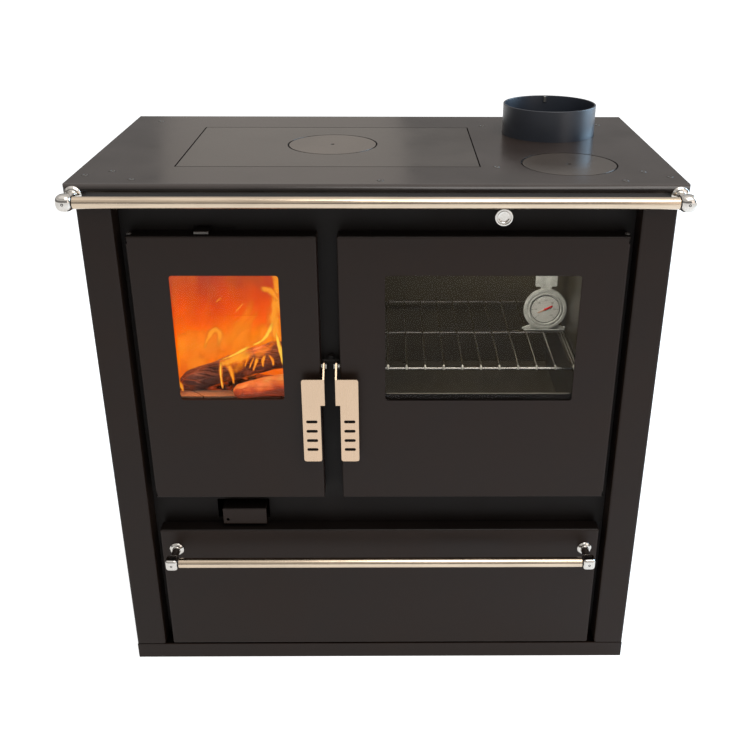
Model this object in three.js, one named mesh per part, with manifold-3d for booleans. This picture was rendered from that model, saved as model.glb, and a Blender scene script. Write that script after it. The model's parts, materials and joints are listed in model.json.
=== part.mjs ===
// A wood-burning kitchen cookstove: firebox on the left, oven on the right, storage drawer below.
// Millimetres. The origin is the centre of the plinth's underside: +X right, +Y back, +Z up.
import * as THREE from "three";
import { RoundedBoxGeometry } from "three/addons/geometries/RoundedBoxGeometry.js";
import { mergeVertices } from "three/addons/utils/BufferGeometryUtils.js";
import Module from "manifold-3d";

// ---------------------------------------------------------------- driving dimensions
const GAP = 0.3; // between pieces that touch
const SHEET = 3; // casing sheet
const FAR = 600; // longer than any piece: for cuts that run right through

const BODY = { width: 851, depth: 455, plinth: 29, seam: 1.5, pillar: 49.5, recess: 34, flange: 17 };
const FRONT = -BODY.depth / 2; // front plane of pillars, doors and drawer
const BACK = BODY.depth / 2;
const SIDE = BODY.width / 2;
const PANEL_FRONT = FRONT + BODY.recess; // front of the recessed front plate
const PANEL_BACK = PANEL_FRONT + SHEET;
const INSIDE_FRONT = PANEL_BACK + GAP;
const MULLION_X = -73.75;

const HOB = { top: 850, plate: 5, side: 435.5, front: -244, back: 240, skirt: 28, wall: 4, bend: 10, corner: 9 };
const HOB_UNDER = HOB.top - HOB.plate;
const INSERT = { left: -299, right: 150, front: -136.5, back: 142, thickness: 10, gap: 1.8 };
const INSERT_SEAT = { ledge: 12, rim: 6, thickness: 3.5 }; // the frame under the hob plate
const LID = { radius: 70, seat: 4.7, spigotRadius: 57, spigot: 4.3, gap: 2.2, holeRadius: 3, holeDepth: 4 };
const LID_SEAT = { radius: 78, below: 5 }; // the boss under the right lid
const ROUND = 64; // sides of the large circles on the hob
const CENTER_LID = { x: -75, y: 13 };
const RIGHT_LID = { x: 286, y: -117.5 };
const COLLAR = { x: 285, y: 102.5, outer: 77, inner: 74, rise: 49, below: 9, fit: 0.6 };
const COLLAR_FLANGE = { radius: 84, depth: 4 };

const RAIL = { x: 0, y: -283.5, z: 836.3, radius: 8.4, wall: 1.5, end: 409.7 };
const RAIL_BRACKET = { x: 420.5, disc: 12.6, discDepth: 4, neck: 6.5, knuckle: 21 };
const DRAWER_HANDLE = { x: 2, y: -266.5, z: 231.2, radius: 8.2, wall: 1.5, end: 328.7 };
const HANDLE_POST = { x: 339.5, disc: 12, discDepth: 3, neck: 6, knuckle: 20.5 };

const FIRE_DOOR = {
  name: "fire_door", left: -361.5, right: -88.5, bottom: 331.5, top: 771.5, hingeSide: -1,
  window: { left: -305, right: -145.5, bottom: 510, top: 712 },
  opening: { left: -335, right: -115, bottom: 352, top: 756 },
  sill: -2,
};
const OVEN_DOOR = {
  name: "oven_door", left: -59, right: 363.5, bottom: 331.5, top: 771.5, hingeSide: 1,
  window: { left: 10, right: 298, bottom: 508, top: 712 },
  opening: { left: -26, right: 321, bottom: 395, top: 745 },
  sill: 8, // how far the glass retainer's lower bar shows above the window's edge
};
const DOOR = { depth: 27.5, sheet: 2.5, edge: 3, windowCorner: 5 };
const GLASS = { overlap: 12, thickness: 4, corner: 4, retainer: 2.5, retainerOverlap: 20, clear: 2 };
const INNER_FRAME = { hingeInset: 13, latchInset: 8, endInset: 10, thickness: 2.5 };
const SEAL = { outset: 12, width: 8, bevel: 2.2 };
const PIN = { inset: 4, depth: 10.5, radius: 2.5, hole: 2.9, head: 4.2, headHeight: 2.5, length: 11 };
const LUG = { offset: 5, thickness: 4, radius: 6 };
const NOTCH = { start: 2.5, height: 8.5, width: 2.6 };

const LEVER = {
  reach: 15, sheet: 2.5, width: 35, bladeWidth: 28, top: 551, step: 507, bottom: 408.5, corner: 4,
  fireFlangeX: -82.5, ovenFlangeX: -66, pivotY: -217, pivotZ: 562, eye: 8,
};
const HOOK = { front: -205, back: -198, top: 1.5, tip: 8, heel: 10 }; // heights below the pivot
const LEVER_SLOT = { width: 17.5, height: 5, offset: 21, heights: [479, 462.5, 446, 430] };
const PIVOT = { shank: 2.7, hole: 3.1, head: 4.5, headDepth: 2.7, nutDepth: 4, spacer: 4.2 };
const CATCH = { y: -202, z: 564.5, radius: 3, halfLength: 13, stem: 3.5, stemHeight: 16 };

const DRAWER = { left: -362.5, right: 363.5, bottom: 31, top: 268.5, depth: 25, sheet: 2.5, edge: 3 };
const DRAWER_BOX = { side: 344, bottom: 42, top: 230, back: 170, sheet: 2 };
const DRAWER_OPENING = { side: 350, bottom: 37, top: 258 };
const RUNNER = { foot: 372, web: 356, inner: 332, shelf: 40, top: 70, sheet: 2, back: 190 };

const FIREBOX = { left: -352, right: -98, back: 190, bottom: 340, top: 835.5, ovenSideTop: 765 };
const FIREBOX_LEDGE = { z: 474, width: 12 };
const BRICK = { thickness: 25, top: 700, front: 4, frontTop: 495, frontThickness: 22 };
const GRATE = { bottom: 478, thickness: 12, slots: 9, slotWidth: 12, back: 158, border: 18 };
const ASH_PAN = { side: 113, front: -176, back: 165, bottom: 347, top: 430, sheet: 2 };
const ASH_HANDLE = { halfWidth: 32, reach: 12, bottom: 386, top: 396, side: 4, bar: 3 };

const OVEN = { back: 162.5, sheet: 2.5, guide: 528, guideHeight: 4, guideWidth: 14, guideInset: 10 };
const RACK = { center: 147, halfWidth: 168, front: -167.5, middle: -22.5, back: 122.5, z: 535 };
const RACK_WIRE = { radius: 1.6, bar: 2.6, pitch: 29.54, count: 12, lift: 3 };
const GAUGE = { x: 282, y: -24, z: 577.5, radius: 37, depth: 9, lip: 3, dial: 31, sheet: 3 };
const GAUGE_HOOK = { width: 37, top: 651, height: 34 };
const GAUGE_FOOT = { width: 70, shoulder: 32, shoulderDrop: 29, rim: 3, front: -3, back: 12 };
const NEEDLE = { tail: [[-13, -8], [-11, -10]], tip: [[19, 9], [18, 11]], thickness: 1, boss: 3 };

const DAMPER = { x: 179, z: 800.5, rod: 4, rodHole: 5, plateEdge: 12 };
const KNOB = { front: -230.5, depth: 20, radius: 13, rim: 2.5, dish: 1.5, round: 1, neckAt: 9, neck: 8 };
const PARTITION = { left: 162, right: 372, front: 22, back: 224, bottom: 747.8, top: 840.5 };
const PORT = { left: 188, right: 352, bottom: 768, top: 828, overlap: 6 };
const FLUE_FLOOR = { left: -97.7, right: 421.5, z: 350 };

const PRIMARY_AIR = { left: -258, right: -186, bottom: 275, top: 305, front: -219.5, back: -176, sheet: 2 };
const PRIMARY_PIN_HOLE = { radius: 2.5, inset: 8, rise: 9 };
const PRIMARY_HOLE = { left: -270, right: -184, bottom: 271, top: 308 };
const SECONDARY_AIR = { left: -263.5, right: -243, bottom: 773, top: 776, front: -221.5 };
const SECONDARY_SLOT = { left: -268, right: -208, bottom: 771.5, top: 777.5 };
const SECONDARY_FLAP = { left: -290, right: -205, bottom: 764, top: 792, thickness: 2 };

// ---------------------------------------------------------------- materials
const finish = (color, roughness, metalness) =>
  new THREE.MeshStandardMaterial({ color, roughness, metalness });
const FINISH = {
  casing: finish(0x3a3433, 0.5, 0.2),
  recess: finish(0x141212, 0.6, 0.2),
  hob: finish(0x585350, 0.45, 0.4),
  collar: finish(0x2e3440, 0.4, 0.5),
  stainless: finish(0xd9c8b0, 0.3, 0.9),
  chrome: finish(0xe6e6e6, 0.12, 1),
  glass: finish(0x30221c, 0.1, 0),
  rope: finish(0x2a2a2a, 0.95, 0),
  brick: finish(0xb9a27e, 0.9, 0),
  castIron: finish(0x2b2928, 0.7, 0.4),
  enamel: finish(0x24221f, 0.35, 0.2),
  zinc: finish(0x9a9a98, 0.4, 0.8),
  dial: finish(0xe2e0d8, 0.5, 0),
  needle: finish(0xc0221c, 0.5, 0),
};

// ---------------------------------------------------------------- solids
const wasm = await Module();
wasm.setup();

function solid(geometry) {
  const bare = geometry.clone();
  bare.deleteAttribute("normal");
  bare.deleteAttribute("uv");
  const merged = mergeVertices(bare, 1e-4);
  return new wasm.Manifold(
    new wasm.Mesh({
      numProp: 3,
      vertProperties: merged.attributes.position.array,
      triVerts: new Uint32Array(merged.index.array),
    }),
  );
}

function geometryOf(body) {
  const mesh = body.getMesh();
  const indexed = new THREE.BufferGeometry();
  indexed.setAttribute("position", new THREE.BufferAttribute(mesh.vertProperties, 3));
  indexed.setIndex(new THREE.BufferAttribute(mesh.triVerts, 1));
  const flat = indexed.toNonIndexed();
  flat.computeVertexNormals();
  return flat;
}

const union = (...bodies) => bodies.reduce((whole, next) => whole.add(next));
const cut = (body, ...tools) => tools.reduce((rest, tool) => rest.subtract(tool), body);

// A box between two values on each axis, given in either order.
function box(xs, ys, zs) {
  const size = [xs, ys, zs].map(([a, b]) => Math.abs(b - a));
  const center = [xs, ys, zs].map(([a, b]) => (a + b) / 2);
  return solid(new THREE.BoxGeometry(...size).translate(...center));
}

function roundedBox(xs, ys, zs, radius, segments = 2) {
  const size = [xs, ys, zs].map(([a, b]) => Math.abs(b - a));
  const center = [xs, ys, zs].map(([a, b]) => (a + b) / 2);
  return solid(new RoundedBoxGeometry(...size, segments, radius).translate(...center));
}

// Local axes for each direction that an outline is pushed along: an outline pushed along x is drawn in
// (y, z), along y in (x, z), along z in (x, y).
const UNIT = { x: new THREE.Vector3(1, 0, 0), y: new THREE.Vector3(0, 1, 0), z: new THREE.Vector3(0, 0, 1) };
const BASIS = {
  x: new THREE.Matrix4().makeBasis(UNIT.y, UNIT.z, UNIT.x),
  y: new THREE.Matrix4().makeBasis(UNIT.x, UNIT.z, UNIT.y.clone().negate()),
  z: new THREE.Matrix4(),
};

function push(axis, outline, from, to, options = {}) {
  const [low, high] = [Math.min(from, to), Math.max(from, to)];
  const bevel = options.bevelThickness ?? 0;
  const geometry = new THREE.ExtrudeGeometry(outline, {
    depth: high - low - 2 * bevel,
    bevelEnabled: bevel > 0,
    curveSegments: 3,
    ...options,
  });
  geometry.translate(0, 0, bevel);
  geometry.applyMatrix4(BASIS[axis]);
  const start = axis === "y" ? high : low;
  return solid(geometry.translate(...UNIT[axis].clone().multiplyScalar(start).toArray()));
}

// A closed outline through points [u, v, corner radius].
function outline(points, Kind = THREE.Shape) {
  const path = new Kind();
  const at = (i) => points[(i + points.length) % points.length];
  const towards = ([u, v, radius = 0], [a, b]) => {
    const length = Math.hypot(a - u, b - v);
    return [u + ((a - u) / length) * radius, v + ((b - v) / length) * radius];
  };
  points.forEach((point, i) => {
    const start = towards(point, at(i - 1));
    if (i === 0) path.moveTo(...start);
    else path.lineTo(...start);
    if (point[2]) path.quadraticCurveTo(point[0], point[1], ...towards(point, at(i + 1)));
  });
  path.closePath();
  return path;
}

const rectangle = ({ left, right, bottom, top }, radius = 0, Kind = THREE.Shape) =>
  outline([[left, bottom, radius], [right, bottom, radius], [right, top, radius], [left, top, radius]], Kind);

const grown = ({ left, right, bottom, top }, by) => ({
  left: left - by, right: right + by, bottom: bottom - by, top: top + by,
});

function frameOutline(outer, inner, radius = 0) {
  const shape = rectangle(outer, radius);
  shape.holes.push(rectangle(inner, radius, THREE.Path));
  return shape;
}

// A turned solid along an axis, from points [radius, place along the axis] that start and end on the
// axis or close on themselves.
function turned(axis, points, center, segments = 24) {
  const profile = points.map(([radius, along]) => new THREE.Vector2(radius, along));
  const geometry = new THREE.LatheGeometry(profile, segments);
  if (axis === "x") geometry.rotateZ(-Math.PI / 2);
  if (axis === "z") geometry.rotateX(Math.PI / 2);
  return facingOut(solid(geometry.translate(...center)), geometry);
}

// Turns a solid's faces round when its profile ran the other way.
function facingOut(body, geometry) {
  if (body.volume() >= 0) return body;
  const index = geometry.index.array;
  for (let i = 0; i < index.length; i += 3) [index[i], index[i + 1]] = [index[i + 1], index[i]];
  return solid(geometry);
}

const rod = (axis, radius, from, to, center, segments = 24) =>
  turned(axis, [[0, from], [radius, from], [radius, to], [0, to]], center, segments);

const pipe = (axis, outer, inner, from, to, center, segments = 24) =>
  turned(axis, [[inner, from], [outer, from], [outer, to], [inner, to], [inner, from]], center, segments);

function add(group, name, body, material) {
  const mesh = new THREE.Mesh(geometryOf(body), FINISH[material]);
  mesh.name = name;
  group.add(mesh);
  return mesh;
}

function newGroup(parent, x = 0, y = 0, z = 0) {
  const group = new THREE.Group();
  group.position.set(x, y, z);
  parent.add(group);
  return group;
}

// ---------------------------------------------------------------- casing
function casing(parent) {
  const group = newGroup(parent);
  const outerX = [-SIDE, SIDE];
  const tray = cut(
    box(outerX, [FRONT, BACK], [0, BODY.plinth]),
    box([-SIDE + SHEET, SIDE - SHEET], [FRONT + SHEET, BACK - SHEET], [SHEET, FAR]),
  );
  add(group, "plinth", tray, "casing");
  const floorX = SIDE - SHEET - GAP;
  const floorBottom = BODY.plinth + GAP;
  const floorY = [INSIDE_FRONT, BACK - SHEET - GAP];
  const floor = box([-floorX, floorX], floorY, [floorBottom, floorBottom + SHEET]);
  add(group, "base_plate", floor, "recess");

  const panelBottom = BODY.plinth + BODY.seam;
  const panelTop = HOB_UNDER - GAP;
  for (const [name, sign] of [["side_panel_left", -1], ["side_panel_right", 1]]) {
    const pillarInner = SIDE - BODY.pillar;
    const flange = SIDE - BODY.flange;
    const section = [
      [SIDE, FRONT, 4], [pillarInner, FRONT, 4], [pillarInner, PANEL_BACK], [pillarInner + SHEET, PANEL_BACK],
      [pillarInner + SHEET, FRONT + SHEET], [SIDE - SHEET, FRONT + SHEET], [SIDE - SHEET, BACK - SHEET],
      [flange, BACK - SHEET], [flange, BACK], [SIDE, BACK, 2],
    ].map(([x, ...rest]) => [sign * x, ...rest]);
    add(group, name, push("z", outline(section), panelBottom, panelTop), "casing");
  }
  const backX = SIDE - BODY.flange - GAP;
  const back = box([-backX, backX], [BACK - SHEET, BACK], [panelBottom + SHEET, panelTop]);
  add(group, "back_panel", back, "casing");
  add(group, "front_frame", frontFrame(HOB_UNDER - LID_SEAT.below - GAP), "recess");
  add(group, "latch_catch", latchCatch(), "recess");
}

// The recessed front plate, with the hinge lugs that carry both doors.
function frontFrame(top) {
  const edge = SIDE - BODY.pillar - GAP;
  const { side, bottom, top: drawerTop } = DRAWER_OPENING;
  const plate = rectangle({ left: -edge, right: edge, bottom: BODY.plinth + GAP, top });
  const holes = [
    rectangle(FIRE_DOOR.opening, 6, THREE.Path),
    rectangle(OVEN_DOOR.opening, 6, THREE.Path),
    rectangle({ left: -side, right: side, bottom, top: drawerTop }, 0, THREE.Path),
    rectangle(PRIMARY_HOLE, 2, THREE.Path),
    rectangle(SECONDARY_SLOT, 0, THREE.Path),
  ];
  plate.holes.push(...holes);
  const rodHole = rod("y", DAMPER.rodHole, -FAR, FAR, [DAMPER.x, 0, DAMPER.z], 16);
  const lugs = [FIRE_DOOR, OVEN_DOOR].flatMap((door) => [
    hingeLug(door, door.top - LUG.offset - LUG.thickness),
    hingeLug(door, door.bottom + LUG.offset),
  ]);
  return union(cut(push("y", plate, PANEL_FRONT, PANEL_BACK), rodHole), ...lugs);
}

const hingeX = (door) => (door.hingeSide < 0 ? door.left + PIN.inset : door.right - PIN.inset);
const HINGE_Y = FRONT + PIN.depth;

function hingeLug(door, z) {
  const x = hingeX(door);
  const arm = box([x - LUG.radius, x + LUG.radius], [HINGE_Y, PANEL_FRONT + 1], [z, z + LUG.thickness]);
  const nose = rod("z", LUG.radius, z, z + LUG.thickness, [x, HINGE_Y, 0], 16);
  return cut(union(arm, nose), rod("z", PIN.hole, -FAR, 2 * FAR, [x, HINGE_Y, 0], 12));
}

// A stem on the mullion with a cross pin, which both door hooks reach under.
function latchCatch() {
  const stem = box(
    [MULLION_X - CATCH.stem, MULLION_X + CATCH.stem],
    [CATCH.y, PANEL_FRONT - GAP],
    [CATCH.z - CATCH.stemHeight / 2, CATCH.z + CATCH.stemHeight / 2],
  );
  const pin = rod("x", CATCH.radius, -CATCH.halfLength, CATCH.halfLength, [MULLION_X, CATCH.y, CATCH.z], 12);
  return union(stem, pin);
}

// ---------------------------------------------------------------- hob
function hob(parent) {
  const group = newGroup(parent);
  add(group, "hob_plate", hobPlate(), "hob");
  add(group, "hob_insert", hobInsert(), "hob");
  addLid(group, "hob_lid_center", CENTER_LID);
  addLid(group, "hob_lid_right", RIGHT_LID);
  const { inner, outer, rise, below } = COLLAR;
  const { radius: flange, depth: flangeDepth } = COLLAR_FLANGE;
  const foot = -below - HOB.plate;
  const profile = [
    [inner, foot], [outer, foot], [outer, -HOB.plate - flangeDepth], [flange, -HOB.plate - flangeDepth],
    [flange, -HOB.plate - GAP], [outer, -HOB.plate - GAP], [outer, rise], [inner, rise], [inner, foot],
  ];
  const collar = turned("z", profile, [0, 0, 0], ROUND);
  add(group, "flue_collar", collar, "collar").position.set(COLLAR.x, COLLAR.y, HOB.top);
}

function hobPlate() {
  const bottom = HOB.top - HOB.skirt;
  const section = outline([
    [HOB.front, bottom], [HOB.back, bottom], [HOB.back, HOB.top], [HOB.front, HOB.top, HOB.bend],
  ]);
  const plan = outline([
    [-HOB.side, HOB.front, HOB.corner], [HOB.side, HOB.front, HOB.corner], [HOB.side, HOB.back], [-HOB.side, HOB.back],
  ]);
  const shell = cut(
    push("x", section, -HOB.side, HOB.side, { curveSegments: 8 }).intersect(
      push("z", plan, 0, 2 * FAR, { curveSegments: 5 }),
    ),
    box([-HOB.side + HOB.wall, HOB.side - HOB.wall], [HOB.front + HOB.wall, FAR], [0, HOB_UNDER]),
  );
  const hole = grown(
    { left: INSERT.left, right: INSERT.right, bottom: INSERT.front, top: INSERT.back },
    INSERT.gap,
  );
  const seat = HOB.top - INSERT.thickness - GAP;
  const { ledge, rim, thickness } = INSERT_SEAT;
  const insertSeat = push("z", rectangle(grown(hole, rim)), seat - thickness, HOB_UNDER + 1);
  const throat = push("z", rectangle(grown(hole, -ledge)), 0, 2 * FAR);
  const seatBottom = -HOB.plate - LID_SEAT.below;
  const lidSeat = rod("z", LID_SEAT.radius, seatBottom, -1, [RIGHT_LID.x, RIGHT_LID.y, HOB.top], ROUND);
  return cut(
    union(shell, insertSeat, lidSeat),
    throat,
    push("z", rectangle(hole), seat, 2 * FAR),
    lidPocket(RIGHT_LID, -FAR, HOB.top),
    rod("z", COLLAR.outer + COLLAR.fit, -FAR, FAR, [COLLAR.x, COLLAR.y, HOB.top], ROUND),
  );
}

// The rebate that a lid drops into: the lid's own circle above, and the spigot's below.
function lidPocket({ x, y }, below, top) {
  const seat = rod("z", LID.radius + LID.gap, -LID.seat - GAP, FAR, [x, y, top], ROUND);
  return union(seat, rod("z", LID.spigotRadius + LID.gap, below, FAR, [x, y, top], ROUND));
}

function hobInsert() {
  const { left, right, front, back, thickness } = INSERT;
  const slab = box([left, right], [front, back], [HOB.top - thickness, HOB.top]);
  return cut(slab, lidPocket(CENTER_LID, -FAR, HOB.top));
}

function addLid(group, name, { x, y }) {
  const { radius, seat, spigotRadius, spigot, holeRadius, holeDepth } = LID;
  const profile = [
    [0, -seat - spigot], [spigotRadius, -seat - spigot], [spigotRadius, -seat], [radius, -seat],
    [radius, 0], [holeRadius, 0], [holeRadius, -holeDepth], [0, -holeDepth],
  ];
  add(group, name, turned("z", profile, [0, 0, 0], ROUND), "hob").position.set(x, y, HOB.top);
}

// ---------------------------------------------------------------- rails
// A bracket: disc on the wall behind, neck, and a rounded block that takes the tube's end.
function railBracket(group, name, x, z, wallY, railY, { disc, discDepth, neck, knuckle }) {
  const half = knuckle / 2;
  const body = union(
    rod("y", disc, wallY - GAP - discDepth, wallY - GAP, [0, 0, 0], 24),
    rod("y", neck, railY, wallY - GAP - 1, [0, 0, 0], 16),
    roundedBox([-half, half], [railY - half, railY + half], [-half, half], 6, 2),
  );
  add(group, name, body, "chrome").position.set(x, 0, z);
}

function towelRail(parent) {
  const group = newGroup(parent);
  const tube = pipe("x", RAIL.radius, RAIL.radius - RAIL.wall, -RAIL.end, RAIL.end, [0, 0, 0], 24);
  add(group, "towel_rail", tube, "stainless").position.set(RAIL.x, RAIL.y, RAIL.z);
  for (const [side, sign] of [["left", -1], ["right", 1]]) {
    const x = RAIL.x + sign * RAIL_BRACKET.x;
    railBracket(group, `towel_rail_bracket_${side}`, x, RAIL.z, HOB.front, RAIL.y, RAIL_BRACKET);
  }
}

// ---------------------------------------------------------------- damper
function damper(parent) {
  const group = newGroup(parent, DAMPER.x, 0, DAMPER.z);
  const { front, depth, radius, rim, dish, round, neckAt, neck } = KNOB;
  const knobBack = front + depth;
  const profile = [
    [0, front + dish], [radius - rim, front + dish], [radius - rim, front], [radius - round, front],
    [radius, front + round], [radius, front + neckAt], [neck, knobBack], [0, knobBack],
  ];
  add(group, "damper_knob", turned("y", profile, [0, 0, 0], 32), "chrome");
  const plateFront = PARTITION.front - GAP - SHEET;
  add(group, "damper_rod", rod("y", DAMPER.rod, knobBack + GAP, plateFront - GAP, [0, 0, 0], 16), "zinc");
  const world = newGroup(parent);
  const cover = grown(PORT, PORT.overlap);
  cover.left = DAMPER.x - DAMPER.plateEdge;
  add(world, "damper_plate", push("y", rectangle(cover), plateFront, plateFront + SHEET), "castIron");
  add(world, "flue_partition", fluePartition(), "castIron");
}

// Three walls round the flue's foot, open at the back, with the bypass port in the front wall.
function fluePartition() {
  const { left, right, front, back, bottom, top } = PARTITION;
  return cut(
    box([left, right], [front, back], [bottom, top]),
    box([left + SHEET, right - SHEET], [front + SHEET, FAR], [0, 2 * FAR]),
    push("y", rectangle(PORT, 4), -FAR, front + 2 * SHEET),
  );
}

// ---------------------------------------------------------------- firebox
function firebox(parent) {
  const group = newGroup(parent);
  const { left, right, back, bottom, top, ovenSideTop } = FIREBOX;
  const { z: ledge, width: ledgeWidth } = FIREBOX_LEDGE;
  const inner = { left: left + SHEET, right: right - SHEET, back: back - SHEET };
  const shell = union(
    cut(
      box([left, right], [INSIDE_FRONT, back], [bottom, top]),
      box([inner.left, inner.right], [-FAR, inner.back], [bottom + SHEET, 2 * FAR]),
      box([inner.right - 1, FAR], [-FAR, FAR], [ovenSideTop, 2 * FAR]),
    ),
    box([inner.left - 1, inner.left + ledgeWidth], [INSIDE_FRONT, inner.back], [ledge, ledge + SHEET]),
    box([inner.right - ledgeWidth, inner.right + 1], [INSIDE_FRONT, inner.back], [ledge, ledge + SHEET]),
  );
  add(group, "firebox_shell", shell, "castIron");

  const brickBottom = GRATE.bottom;
  const brickFront = INSIDE_FRONT + BRICK.front;
  const bricks = {
    left: [[inner.left + GAP, inner.left + BRICK.thickness], [brickFront, inner.back - GAP], BRICK.top],
    right: [[inner.right - BRICK.thickness, inner.right - GAP], [brickFront, inner.back - GAP], BRICK.top],
    rear: [
      [inner.left + BRICK.thickness + GAP, inner.right - BRICK.thickness - GAP],
      [inner.back - BRICK.thickness, inner.back - GAP],
      BRICK.top,
    ],
    front: [
      [inner.left + BRICK.thickness + GAP, inner.right - BRICK.thickness - GAP],
      [brickFront, brickFront + BRICK.frontThickness],
      BRICK.frontTop,
    ],
  };
  for (const [side, [xs, ys, brickTop]] of Object.entries(bricks)) {
    add(group, `fire_brick_${side}`, box(xs, ys, [brickBottom, brickTop]), "brick");
  }
  const grateX = [inner.left + BRICK.thickness + GAP, inner.right - BRICK.thickness - GAP];
  add(group, "fire_grate", grate(grateX, brickFront + BRICK.frontThickness + GAP), "castIron");
  add(group, "ash_pan", ashPan((left + right) / 2), "zinc");
}

function grate([left, right], front) {
  const { bottom, thickness, slots, slotWidth, back, border } = GRATE;
  const slab = box([left, right], [front, back], [bottom, bottom + thickness]);
  const pitch = (right - left) / slots;
  const holes = Array.from({ length: slots }, (_, i) => {
    const x = left + pitch * (i + 0.5);
    return box([x - slotWidth / 2, x + slotWidth / 2], [front + border, back - border], [0, FAR]);
  });
  return cut(slab, ...holes);
}

function ashPan(x) {
  const { side, front, back, bottom, top, sheet } = ASH_PAN;
  const { halfWidth, reach, bottom: low, top: high, side: legs, bar } = ASH_HANDLE;
  const tray = cut(
    box([x - side, x + side], [front, back], [bottom, top]),
    box([x - side + sheet, x + side - sheet], [front + sheet, back - sheet], [bottom + sheet, 2 * FAR]),
  );
  const bow = cut(
    box([x - halfWidth, x + halfWidth], [front - reach, front + 1], [low, high]),
    box([x - halfWidth + legs, x + halfWidth - legs], [front - reach + bar, front], [0, FAR]),
  );
  return union(tray, bow);
}

// ---------------------------------------------------------------- oven
function oven(parent) {
  const group = newGroup(parent);
  const { left, right, bottom, top } = OVEN_DOOR.opening;
  const { back, sheet, guide, guideHeight, guideWidth, guideInset } = OVEN;
  const guideY = [INSIDE_FRONT + guideInset, back - guideInset];
  const cabinet = union(
    cut(
      box([left - sheet, right + sheet], [INSIDE_FRONT, back + sheet], [bottom - sheet, top + sheet]),
      box([left, right], [-FAR, back], [bottom, top]),
    ),
    box([left - 1, left + guideWidth], guideY, [guide, guide + guideHeight]),
    box([right - guideWidth, right + 1], guideY, [guide, guide + guideHeight]),
  );
  add(group, "oven_box", cabinet, "enamel");
  add(group, "oven_rack", rack(), "chrome");
  const { left: floorLeft, right: floorRight, z } = FLUE_FLOOR;
  const floor = box([floorLeft, floorRight], [INSIDE_FRONT, BACK - SHEET - GAP], [z, z + SHEET]);
  add(group, "oven_flue_floor", floor, "castIron");
  thermometer(parent);
}

function rack() {
  const { center, halfWidth, front, middle, back, z } = RACK;
  const { radius, bar, pitch, count, lift } = RACK_WIRE;
  const sides = [-1, 1].map((sign) => rod("y", bar, front, back, [center + sign * halfWidth, 0, z], 6));
  const across = halfWidth + bar;
  const bars = [front, middle, back].map((y) => rod("x", bar, -across, across, [center, y, z], 6));
  const wires = Array.from({ length: count }, (_, i) => {
    const x = center + pitch * (i - (count - 1) / 2);
    return rod("y", radius, front - bar, back + bar, [x, 0, z + lift], 4);
  });
  return union(...bars, ...sides, ...wires);
}

// A dial thermometer that stands on the rack: case with a foot and a hook plate, dial and needle.
function thermometer(parent) {
  const group = newGroup(parent, GAUGE.x, GAUGE.y, GAUGE.z);
  const { radius, depth, lip, dial, sheet, z } = GAUGE;
  const base = RACK.z + RACK_WIRE.lift + RACK_WIRE.radius + GAP - z;
  const shell = turned(
    "y",
    [[0, depth], [radius, depth], [radius, 0], [dial + 1, 0], [dial + 1, lip], [0, lip]],
    [0, 0, 0],
    40,
  );
  const foot = GAUGE_FOOT;
  const halfFoot = foot.width / 2;
  const plate = outline([
    [-halfFoot, base], [halfFoot, base], [halfFoot, base + foot.rim], [foot.shoulder / 2, -foot.shoulderDrop],
    [-foot.shoulder / 2, -foot.shoulderDrop], [-halfFoot, base + foot.rim],
  ]);
  const halfHook = GAUGE_HOOK.width / 2;
  const hookTop = GAUGE_HOOK.top - z;
  const stand = union(
    push("y", plate, depth - sheet, depth),
    box([-halfFoot, halfFoot], [foot.front, foot.back], [base, base + foot.rim - 1]),
    box([-halfHook / 2, halfHook / 2], [depth - sheet, depth], [radius - sheet, hookTop - 1]),
    box([-halfHook, halfHook], [depth - sheet, depth], [hookTop - GAUGE_HOOK.height, hookTop]),
  );
  add(group, "thermometer_case", union(shell, stand), "zinc");
  const face = lip - GAP - 1;
  add(group, "thermometer_dial", rod("y", dial, face, lip - GAP, [0, 0, 0], 40), "dial");
  const front = face - GAP - NEEDLE.thickness;
  const pointer = push("y", outline([...NEEDLE.tail, ...NEEDLE.tip]), front, face - GAP);
  const boss = rod("y", NEEDLE.boss, front, face - GAP, [0, 0, 0], 16);
  add(group, "thermometer_needle", union(pointer, boss), "needle");
}

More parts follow.
